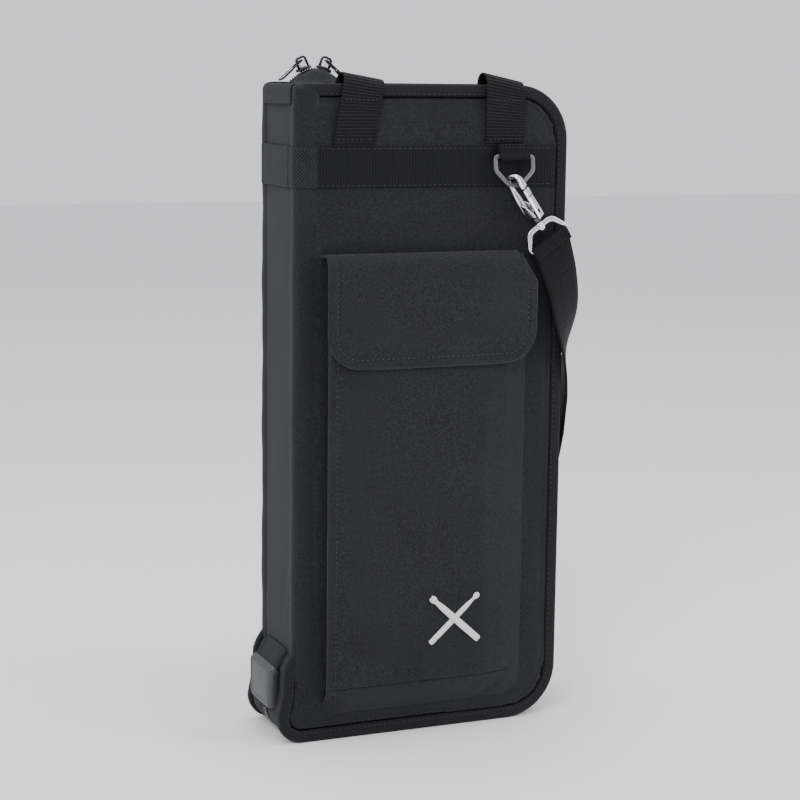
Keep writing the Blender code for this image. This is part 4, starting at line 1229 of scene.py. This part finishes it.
def build_ring(side, word, mats):
    """A D-ring and the webbing loop that holds it."""
    bar_y, bar_z = 44.6, 446.5
    left, right = RING_HOLD[0][0], RING_HOLD[1][0]
    middle = (left + right) / 2
    path = [(40.65, bar_z + 9.0), (40.7, bar_z + 5), (41.2, bar_z + 2.2)]
    path += arc((bar_y, bar_z), 3.0, 190, 410, 11)
    path += [(44.6, bar_z + 4.2), (42.8, bar_z + 6.2), (42.2, bar_z + 9.5)]
    path = curve_through([(middle, side * y, z) for y, z in path], 0.9)
    loop = tube(f"{word}_ring_webbing", path, flat_profile(right - left, 1.35), mats["strap"], side=(1, 0, 0))
    dress(loop, f"{word}_cover", "black_webbing", f"{word}_ring_loop")
    rows = []
    for z in (bar_z + 6.6, bar_z + 8.6):
        line = [(x, side * 80, z) for x in np.arange(left + 1.5, right - 1, 1.5)]
        rows.append(sewn("row", *Skin(loop).drop(line, (0, -side, 0)), mats["thread"], 2.2, 0.8, 0.28))
    stitches = join(f"{word}_ring_stitches", rows)
    dress(stitches, f"{word}_cover", "black_webbing")

    half, drop, ring_x = 15.7, 21.5, 62
    corners = mirrored(((-half, 0), (-half, -drop * 0.5), (-half * 0.32, -drop)))
    path = [(ring_x + x, side * (bar_y - 2.6 * z / drop), bar_z + z)
            for x, z in rounded_loop(corners, 2.6, 1.2)]
    ring = tube(f"{word}_dee", path, superellipse(1.7, 1.05, 4.0, 16), mats["satin"], closed=True)
    dress(ring, f"{word}_ring", "bright_chrome", f"{word}_d_ring")


def build_hook(side, word, mats):
    """A snap hook with its barrel, its lever and the swivel ring below it."""
    frame, turned = hook_frame(side)
    chrome = mats["chrome"]
    radius, shank = 5.4, -22.0
    path = [(-1.2, 0, shank + 0.4), (-3.6, 0, shank + 1.6), (-5.1, 0, shank + 4.6), (-radius, 0, shank + 8),
            (-radius, 0, -6.0), (-radius, 0, 3.0)]
    path += [(x, 0, z) for x, z in arc((0.0, 9.0), radius, 180, 0, 22)]
    path.append((radius + 0.1, 0, 2.0))
    path = resample(path, 1.0)
    travel = lengths(path)

    def bar(t):
        s = t * travel[-1]
        left = travel[-1] - s
        end = min(1.0, max(0.4, left / 0.8) ** 0.5)
        shoulder = 1.7 * np.interp(s, [2, 6, 18, 28], [0.6, 1, 1, 0])
        wide = 1.9 + shoulder + 2.2 * np.interp(left, [0, 5, 12], [1, 0.9, 0])
        deep = np.interp(left, [0, 7, 14], [1.05, 1.2, 1.85]) + 0.35 * np.interp(s, [6, 18, 26], [1, 1, 0])
        return superellipse(deep * end, wide * end, 3.0, 20)

    wire = tube("wire", path, bar, chrome)
    turned_profile = ((1.6, 1.2), (2.6, 0.9), (3.3, -0.2), (3.4, -1.0), (2.7, -1.4), (2.7, -1.9), (3.4, -2.3),
                      (3.4, -4.4), (3.1, -5.0), (2.2, -5.4))
    barrel = lathe("barrel", [(r, shank + z) for r, z in turned_profile], mats["dark_metal"], knurl=0.28,
                   sides=36)
    parts = [wire, barrel]
    for y in (-3.3, 3.3):
        cheek = rounded(((-4.6, shank + 0.6), (-4.6, shank + 13.5), (0.0, shank + 9.0), (3.0, shank + 3.4),
                         (3.6, shank - 0.6), (0, shank - 0.8)), 1.4, 3)
        upright = Matrix(((1, 0, 0, 0), (0, 0, -1, y * MM), (0, 1, 0, 0), (0, 0, 0, 1)))
        parts.append(plate("cheek", cheek, 0.9, chrome, upright, soften=0.25))
    body = placed(join(f"{word}_snap_hook", parts), frame)
    dress(body, f"{word}_ring", "bright_chrome", f"{word}_hook_body")

    # The lever: a bright bowed plate with a notch across it and a small window low down. The notch is a dark
    # gunmetal rod, painted shade in its groove, and a black plastic plate behind the window is painted shade
    # seen through it.
    top = 1.2

    def at_gate(out):
        return Matrix(((0, 0, 1, out * MM), (1, 0, 0, 0), (0, 1, 0, 0), (0, 0, 0, 1)))

    outline = rounded(((-4.0, shank - 2.2), (4.0, shank - 2.2), (4.1, top - 3), (4.0, top), (-4.0, top),
                       (-4.1, top - 3)), 0.9, 4)
    hole = rounded(((-1.3, shank + 1.2), (1.3, shank + 1.2), (1.3, shank + 3.6), (1.3, shank + 4.6),
                    (-1.3, shank + 4.6), (-1.3, shank + 3.6)), 0.7, 4)
    lever = plate("lever", outline, 1.3, chrome, at_gate(5.5), hole=hole, dome=0.55)
    # A black plastic plate behind the lever's window: painted shade seen through it.
    outline = rounded(((-2.0, shank + 0.4), (2.0, shank + 0.4), (2.0, shank + 5.4), (-2.0, shank + 5.4)),
                      0.6, 3)
    window_shade_plate = plate("window_shade_plate", outline, 0.5, mats["plastic"], at_gate(4.7), soften=0.1)
    # A dark gunmetal rod across the lever: painted shade in its notch.
    notch_shade_rod = tube("notch_shade_rod", [(6.35 + 0.5 * (1 - (y / 3.7) ** 2), y, -5.2) for y in np.linspace(-3.4, 3.4, 9)],
                 round_profile(0.32, 0.32, 8), mats["dark_metal"], side=(0, 0, 1))
    lip = tube("lip", [(6.0 + 0.3 * (1 - (y / 4) ** 2), y, top - 0.6) for y in np.linspace(-3.4, 3.4, 7)],
               round_profile(0.3, 0.55, 8), chrome, side=(0, 0, 1))
    gate = placed(join(f"{word}_lever", [lever, window_shade_plate, notch_shade_rod, lip]), frame)
    dress(gate, f"{word}_gate", "bright_chrome", f"{word}_hook_gate")

    build_swivel(word, frame @ turned, mats)


def build_swivel(word, place, mats):
    """The flat stamped ring that carries the strap, on its swivel post, with the strap's end round it."""
    path = rounded_loop(mirrored(((-8.0, -31.0), (-11.5, -32.4), (-17.5, -42.2), (-16.6, -45.5))), 2.2, 1.0)
    share = lengths(path) / lengths(path)[-1]

    def stamped(t):
        height = np.interp(t, share, path[:, 1])
        return superellipse(np.interp(height, [-46, -44, -40, -33], [1.35, 1.3, 1.6, 2.1]), 1.15, 4.0, 14)

    ring = tube("stamped_ring", [(x, 0, z) for x, z in path], stamped, mats["chrome"], closed=True)
    post = lathe("post", ((1.8, -35.2), (2.6, -34.6), (3.1, -33.6), (3.1, -32.2), (2.5, -31.8), (2.5, -31.0),
                          (3.1, -30.6), (3.1, -28.6), (2.4, -27.9), (1.2, -27.8)), mats["chrome"])
    swivel = placed(join(f"{word}_swivel_ring", [ring, post]), place)
    dress(swivel, f"{word}_swivel", "bright_chrome", f"{word}_strap_ring")

    path = [(1.5, -53.5), (1.8, -50.5), (2.5, -48), (2.75, -46), *arc((0.0, -45.5), 2.75, 15, 165, 8),
            (-2.75, -46), (-2.5, -48), (-1.8, -50.5), (-1.5, -53.5)]
    path = curve_through([(0, y, z) for y, z in path], 1.2)
    loop = tube(f"{word}_strap_end", path, flat_profile(34.2, 1.3, 10), mats["strap"], side=(1, 0, 0))
    placed(loop, place)
    rows = []
    out = place.to_3x3() @ Vector((0, 1, 0))
    for sign in (-1, 1):
        line = [(place @ (Vector((x, 0, -51.6)) * MM)) / MM + out * sign * 20
                for x in np.arange(-15.5, 15.6, 1.6)]
        points, normals = Skin(loop).drop(line, tuple(-out * sign))
        rows.append(sewn("row", points, normals, mats["thread"], 2.6, 0.9))
    stitches = join(f"{word}_strap_end_stitches", rows)
    for piece in (loop, stitches):
        dress(piece, f"{word}_swivel", "black_webbing")


# ---------------------------------------------------------------- strap

def strap_top(side):
    """The strap's two edges where it leaves its ring, the right one first at the back."""
    frame, turned = hook_frame(side)
    edges = [tuple((frame @ turned @ (Vector((x, 0.0, -48.0)) * MM)) / MM) for x in (-17.3, 17.3)]
    return sorted(edges, reverse=True) if side == BACK else edges


def webbing_rows(pairs, step):
    """Rows of points across a strap that runs through pairs of edge points."""
    pairs = np.array(pairs, float)
    joined = curve_through(pairs.reshape(len(pairs), 6), step)
    rows = []
    for near, far in zip(joined[:, :3], joined[:, 3:]):
        rows.append([near + (far - near) * c for c in np.linspace(0, 1, 9)])
    return np.array(rows)


def strap_piece(name, rows, mats):
    """One stretch of strap, through its rows of points."""
    piece = surface(name, rows, 1.8, mats["strap"], uvs=True, out=0.0)
    return piece


def strap_bend(name, rows, first, last, mats):
    """A piece of strap through the rows from first to last, its placement baked into its mesh."""
    piece = strap_piece(name, rows[first:last + 1], mats)
    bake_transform(piece)
    return piece


def build_strap(mats):
    """The strap from the front hook round to the back one, in pieces; the stretch on the back cover rides
    with it.
    """
    meet = ((122.6, -20.0, 225.0), (123.4, 15.0, 225.0))
    front = webbing_rows([strap_top(FRONT), ((91.5, -49.8, 341.0), (119.6, -40.0, 358.0)),
                          ((99.0, -48.4, 316.0), (125.4, -32.0, 328.0)),
                          ((108.6, -46.2, 288.0), (125.6, -15.0, 296.0)),
                          ((116.6, -36.0, 262.0), (125.0, -2.0, 266.0)),
                          ((120.8, -26.0, 242.0), (124.6, 8.6, 243.0)), meet], 3.0)
    height = front.mean(1)[:, 2]
    first = int(np.argmax(height < 356))
    second = int(np.argmax(height < 318))
    strap_bend("strap_front_upper", front, 0, first, mats)
    strap_bend("strap_front_middle", front, first, second, mats)
    piece = strap_bend("strap_front_lower", front, second, len(front) - 1, mats)
    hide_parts("strap_front_run")

    rear = webbing_rows([meet, ((123.2, -9.0, 198.0), (120.4, 25.5, 194.0)),
                         ((123.4, 9.0, 168.0), (113.2, 42.4, 162.0)),
                         ((122.0, 33.0, 138.0), (94.6, 51.0, 130.0)),
                         ((113.5, 43.6, 106.0), (79.0, 47.0, 98.0)),
                         ((108.5, 43.4, 72.0), (73.6, 43.6, 66.0)),
                         ((107.0, 44.6, 42.0), (72.1, 44.6, 38.0)), ((106.3, 48.6, 31.5), (71.4, 48.6, 27.5)),
                         ((105.6, 53.6, 31.5), (70.7, 53.6, 27.5)), ((104.8, 56.4, 42.0), (69.9, 56.4, 38.0)),
                         ((103.3, 56.4, 72.0), (68.4, 56.4, 69.0)), strap_top(BACK)], 3.0)
    height = rear.mean(1)[:, 2]
    turn = int(np.argmin(height))
    low = int(np.argmax(height[:turn] < 104))
    ring = turn + int(np.argmax(height[turn:] > 322))
    swivel = turn + int(np.argmax(height[turn:] > 352))
    strap_bend("strap_rear_side", rear, 0, low, mats)
    piece = strap_piece("strap_rear_back", rear[low:ring + 1], mats)
    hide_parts("strap_rear_run")
    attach(piece, "back_cover")
    strap_bend("strap_rear_upper", rear, ring, swivel, mats)
    strap_bend("strap_rear_top", rear, swivel, len(rear) - 1, mats)


def build_adjuster(mats):
    """The adjuster that slides on the straight part of the rear run."""
    base = np.array((85.85, 56.6, 70.5))
    high = np.mean(strap_top(BACK), axis=0)
    way = Vector(high - base).normalized()
    normal = way.cross(Vector((1, 0, 0))).normalized()
    axes = Matrix((normal.cross(way), normal, way)).transposed().to_4x4()
    place = Matrix.Translation(Vector((base + high) / 2) * MM) @ axes
    black = mats["plastic"]
    parts = []
    loop = rounded_loop(((-20.0, -9.0), (20.0, -9.0), (20.0, 9.0), (-20.0, 9.0)), 3.0, 1.5)
    for y in (-2.7, 2.7):
        path = [(x, y, z) for x, z in loop]
        parts.append(tube("side", path, superellipse(1.4, 1.0, 3.0, 12), black, closed=True))
        path = [(x, y, 0) for x in np.linspace(-19, 19, 12)]
        parts.append(tube("bar", path, superellipse(1.0, 1.9, 3.0, 12), black, side=(0, 0, 1)))
    for x in (-19.9, 19.9):
        path = [(x, 0, z) for z in np.linspace(-7.5, 7.5, 7)]
        parts.append(tube("wall", path, superellipse(0.9, 3.0, 4.0, 12), black))
    adjuster = placed(join("strap_slide_adjuster", parts), place)
    dress(adjuster, "adjuster", "black_plastic", "strap_adjuster")


# ---------------------------------------------------------------- zip sliders and tabs

def slider_frame(x):
    """A slider's place on the arch, level with the zip under it."""
    left, right, rise = ARCH
    turn = math.pi / (right - left)
    angle = turn * (x - (left + right) / 2)
    height = TOP - 2.8 + rise * math.cos(angle)
    slope = math.atan(-rise * turn * math.sin(angle))
    lift = 2.4
    place = Vector((x - lift * math.sin(slope), 0.0, height + lift * math.cos(slope)))
    return Matrix.Translation(place * MM) @ Matrix.Rotation(-slope, 4, "Y")


def build_slider(word, x, mats):
    """A zip slider with its bail, and the pull that hangs on it."""
    metal = mats["slider"]
    frame = slider_frame(x)
    wing = rounded(((-5.6, -4.4), (-1.0, -4.6), (5.4, -2.7), (5.6, 0), (5.4, 2.7), (-1.0, 4.6), (-5.6, 4.4),
                    (-4.6, 0)), 1.1, 4)
    if word == "right":
        wing = wing * (-1, 1)
    parts = [plate("upper", wing, 2.0, metal, Matrix.Translation((0, 0, -0.7 * MM)), soften=0.5, dome=0.6),
             plate("lower", wing * 0.92, 1.1, metal, Matrix.Translation((0, 0, -3.4 * MM)), soften=0.35)]
    sides = rounded(((-2.4, -2.6), (2.4, -2.6), (2.4, 2.6), (-2.4, 2.6)), 0.9, 3)
    parts.append(plate("block", sides, 2.8, mats["chrome"], Matrix.Translation((0, 0, 1.6 * MM)), soften=0.5))
    crown = 8.2
    bail = rounded(mirrored(((-3.8, -0.4), (-3.75, crown - 1.6), (-2.6, crown))), 1.4, closed=False)
    parts.append(tube("bail", [(a, 0, b) for a, b in bail], superellipse(0.8, 1.5, 3.0, 12), metal))
    body = placed(join(f"slider_body_{word}", parts), frame)
    dress(body, f"slider_{word}", "dark_chrome", f"zip_slider_{word}")

    lean = 161 if word == "left" else 19
    turned = frame @ Matrix.Translation((0, 0, 6.0 * MM)) @ Matrix.Rotation(math.radians(lean), 4, "Y")
    half = ((-0.9, 2.4), (-0.3, 2.9), (5.5, 3.1), (8.5, 3.3), (18.5, 4.3), (21.3, 3.4), (22.5, 1.6))
    blade = np.array([(r, -b) for r, b in half] + [(r, b) for r, b in reversed(half)])
    eye = [(0.9, -0.9), (1.3, -1.5), (4.0, -1.6), (5.6, -1.6), (7.0, -1.5), (7.3, -1.1), (7.4, -0.5)]
    eye = np.array(eye + [(r, -b) for r, b in reversed(eye)])
    parts = [plate("blade", blade, 1.15, metal, hole=eye, soften=0.3)]
    # Raised ridges round both faces of the pull in bright chrome on the dark blade: real ridges, their
    # brightness a painted highlight along the blade.
    glinting_ridge = ((9.4, -2.3), (18.0, -3.2), (20.9, -2.2), (20.9, 2.2), (18.0, 3.2), (9.4, 2.3))
    glinting_ridge = rounded_loop(glinting_ridge, 1.2, 1.0, 3)
    for z in (0.62, -0.62):
        path = [(a, b, z) for a, b in glinting_ridge]
        parts.append(tube("glinting_ridge", path, round_profile(0.34, 0.34, 8), mats["chrome"], closed=True,
                          side=(0, 0, 1)))
    pull = placed(join(f"pull_blade_{word}", parts), turned)
    dress(pull, f"pull_{word}", "dark_chrome", f"slider_pull_{word}")


def build_end_tab(mats):
    """The folded webbing over the zip's end, at the top of the spine."""
    low, high = box_mm("zip_end_tab")
    face = low[0] + 1.0
    path = rounded(((face, low[2] + 0.4), (face, high[2] - 1.2), (high[0] - 0.4, high[2] - 0.9)), 3.0, 6,
                   closed=False)
    tab = tube("end_tab_webbing", [(x, 0, z) for x, z in resample(path, 1.0)],
               flat_profile(high[1] * 2 + 17, 1.5, 16), mats["band"])
    rows = []
    for z in (low[2] + 2.4, low[2] + 10.5):
        line = [(-140, y, z) for y in np.arange(-28, 28.1, 1.5)]
        rows.append(sewn("row", *Skin(tab).drop(line, (1, 0, 0)), mats["thread"]))
    stitches = join("end_tab_stitches", rows)
    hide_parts("zip_end_tab")
    for piece in (tab, stitches):
        dress(piece, "spine", "black_webbing")


def build_garage_tab(mats):
    """The leatherette tab over the zip's foot, and the cloth wedge that backs it up to the spine."""
    low, _ = box_mm("zip_garage_tab")
    face = low[0] + 1.6
    path = [(face + 0.8, low[2] + 1), (face + 0.1, low[2] + 6), (face, 42), (face + 0.1, 53.5)]
    path = curve_through([(x, 0, z) for x, z in path], 1.0)[:, [0, 2]]
    path = np.vstack((path, arc((face + 2.4, 53.8), 2.3, 175, 100, 6), [(face + 6.5, 60.0), (-112.0, 71.0)]))
    path = resample(path, 1.0)
    travel = lengths(path)
    normal = outward(path)
    half, corner, inset = 21.6, 5.0, 4.2
    front_end = travel[-1] - 18.5
    rows = []
    for (x, z), (nx, nz), s in zip(path, normal, travel):
        row = []
        for y in np.linspace(-half, half, 61):
            edge = min(half - abs(y), s, abs(front_end - s) + 1.6)
            dx, dz = corner - (half - abs(y)), corner - s
            if dx > 0 and dz > 0:
                edge = min(edge, corner - math.hypot(dx, dz))
            groove = 0.5 * math.exp(-((edge - inset) / 0.7) ** 2)
            welt = 0.25 * math.exp(-((edge - 2.6) / 1.0) ** 2)
            out = welt - groove - float(edge_roll(max(edge, 0.0), 1.4, 0.9)) - 0.35 * (y / half) ** 2
            out -= 6.5 * max(0.0, (abs(y) - 20.4) / 1.2) ** 2 * (1.0 if s < front_end + 3 else 0.3)
            row.append((x + nx * out, y, z + nz * out))
        rows.append(row)
    ends = int(np.argmax(travel > travel[-1] - 17.0))
    tab = surface("garage_tab_leather", rows[:ends + 1], 1.8, mats["leather"], out=0.0)
    wedge = surface("garage_tab_backing", rows[ends:], 1.4, mats["spine"], out=0.0)
    dress(wedge, "spine", "shell_fabric")
    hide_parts("zip_garage_tab")

    spots = np.arange(inset, front_end - inset, 1.5)
    line = [(x, inset - half, z) for x, z in (at_length(s, travel, path) for s in spots)]
    line += [(x, -y, z) for x, y, z in reversed(line)]
    points, normals = [], []
    skin = Skin(tab)
    for p in resample([*line, line[0]], 1.5):
        nx, nz = normal[np.argmin(np.abs(path[:, 1] - p[2]))]
        way = np.array((-nx, 0, -nz)) * (1 if nx < 0 else -1)
        places, ups = skin.drop([p - way * 12], tuple(way))
        points += list(places)
        normals += list(ups)
    stitches = sewn("garage_tab_stitches", points, normals, mats["seam"], 2.4, 1.0, 0.3)
    for piece in (tab, stitches):
        dress(piece, "spine", "grey_leatherette")


# ---------------------------------------------------------------- inside

def build_inside(side, word, cells, mats):
    """A cover's lining and the pleated stick pockets on it."""
    low, high = box_mm(f"{word}_lining")
    inset = RIGHT - high[0]
    start = low[0] + 1
    path = [tuple(p) for p in zip_path(inset, 6.0, high_end=False) if p[0] > start]
    outline = [(start, high[2]), *path, (start, low[2])]
    a, b = sorted((side * 30.3, side * 31.2))
    lining = block(f"{word}_lining_cloth", outline, a, b, mats["lining"])
    modifier(lining, "BEVEL", width=0.3 * MM, segments=2, limit_method="ANGLE", angle_limit=math.radians(60))
    apply_modifiers(lining)
    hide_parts(f"{word}_lining")
    start = low[0] + 5
    line = [tuple(p) for p in zip_path(inset + 4, 3.0, high_end=False) if p[0] > start]
    line = resample([(start, high[2] - 4), *line, (start, low[2] + 4), (start, high[2] - 4)], 3.0)
    stitches = sewn(f"{word}_lining_stitches", at_depth(line, side * 30.25), [(0, -side, 0)] * len(line),
                    mats["seam"], radius=0.3)
    for piece in (lining, stitches):
        dress(piece, f"{word}_cover", "lining_fabric")

    low, high = box_mm(f"{word}_stick_pocket")
    back, deep = (-low[1], -high[1]) if side == FRONT else (high[1], low[1])
    width = (high[0] - low[0]) / cells
    rows = []
    foot = 13.0
    levels = (low[2] + np.array([0, 1.5, 4, 8, foot]), np.arange(low[2] + 20, high[2] + 0.1, 6.0))
    for z in np.concatenate(levels):
        full = min(1.0, (z - low[2]) / foot) ** 0.5
        row = []
        for i in range(cells):
            x0 = low[0] + i * width
            for t in np.linspace(0, 1, 15)[:-1]:
                bulge = (1 - abs(2 * t - 1) ** 3.2) ** 0.8 * full
                sway = 0.4 * math.sin(z / 15 + i * 2.1) * bulge
                row.append((x0 + width * t + sway, side * (back - 0.4 - (back - deep - 1.2) * bulge), z))
        row.append((high[0], side * (back - 0.4), z))
        rows.append(row)
    pocket = surface(f"{word}_stick_pleats", rows, 1.1, mats["lining"], out=0.0)
    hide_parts(f"{word}_stick_pocket")
    hem = tube(f"{word}_stick_pocket_hem", np.array(rows[-1]), superellipse(0.95, 3.0, 3.0, 12), mats["edge"],
               side=(0, 0, 1))
    for piece in (pocket, hem):
        dress(piece, f"{word}_cover", "lining_fabric")


def build_patches(mats):
    """The hook-and-loop patches, their pile a little uneven."""
    for name, body in (("loop_patch", "front_cover"), ("hook_patch", "flap")):
        low, high = box_mm(name)
        rows = []
        for z in np.linspace(low[2], high[2], 21):
            row = []
            for x in np.linspace(low[0], high[0], 45):
                edge = min(x - low[0], high[0] - x, z - low[2], high[2] - z)
                pile = 0.35 if edge < 1 else 0.60
                row.append((x, low[1] - pile - 0.18 * RNG.random(), z))
            rows.append(row)
        patch = surface(f"{name}_pile", rows, 0.8, mats["pile"])
        dress(patch, body, "hook_and_loop", name)


# ---------------------------------------------------------------- assembly

def main():
    mats = build_materials()
    build_camera()
    build_studio()
    pads = []
    for side, word, cells in ((FRONT, "front", 4), (BACK, "back", 3)):
        body = f"{word}_cover"
        pads.append(build_cover_pad(side, word, body, mats))
        build_rim(side, word, body, mats)
        build_gusset(side, word, body, mats)
        build_zip(side, word, body, mats)
        build_fold(side, word, mats)
        build_inside(side, word, cells, mats)
        build_ring(side, word, mats)
        build_hook(side, word, mats)
    build_spine(mats)
    build_bands(mats)
    pocket = build_pocket(mats, pads[0])
    build_patches(mats)
    build_flap(mats)
    build_emblem(mats, pocket)
    build_handles(mats)
    build_strap(mats)
    build_adjuster(mats)
    for word, x in (("left", -91.0), ("right", -77.0)):
        build_slider(word, x, mats)
    build_end_tab(mats)
    build_garage_tab(mats)
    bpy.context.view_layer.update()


main()
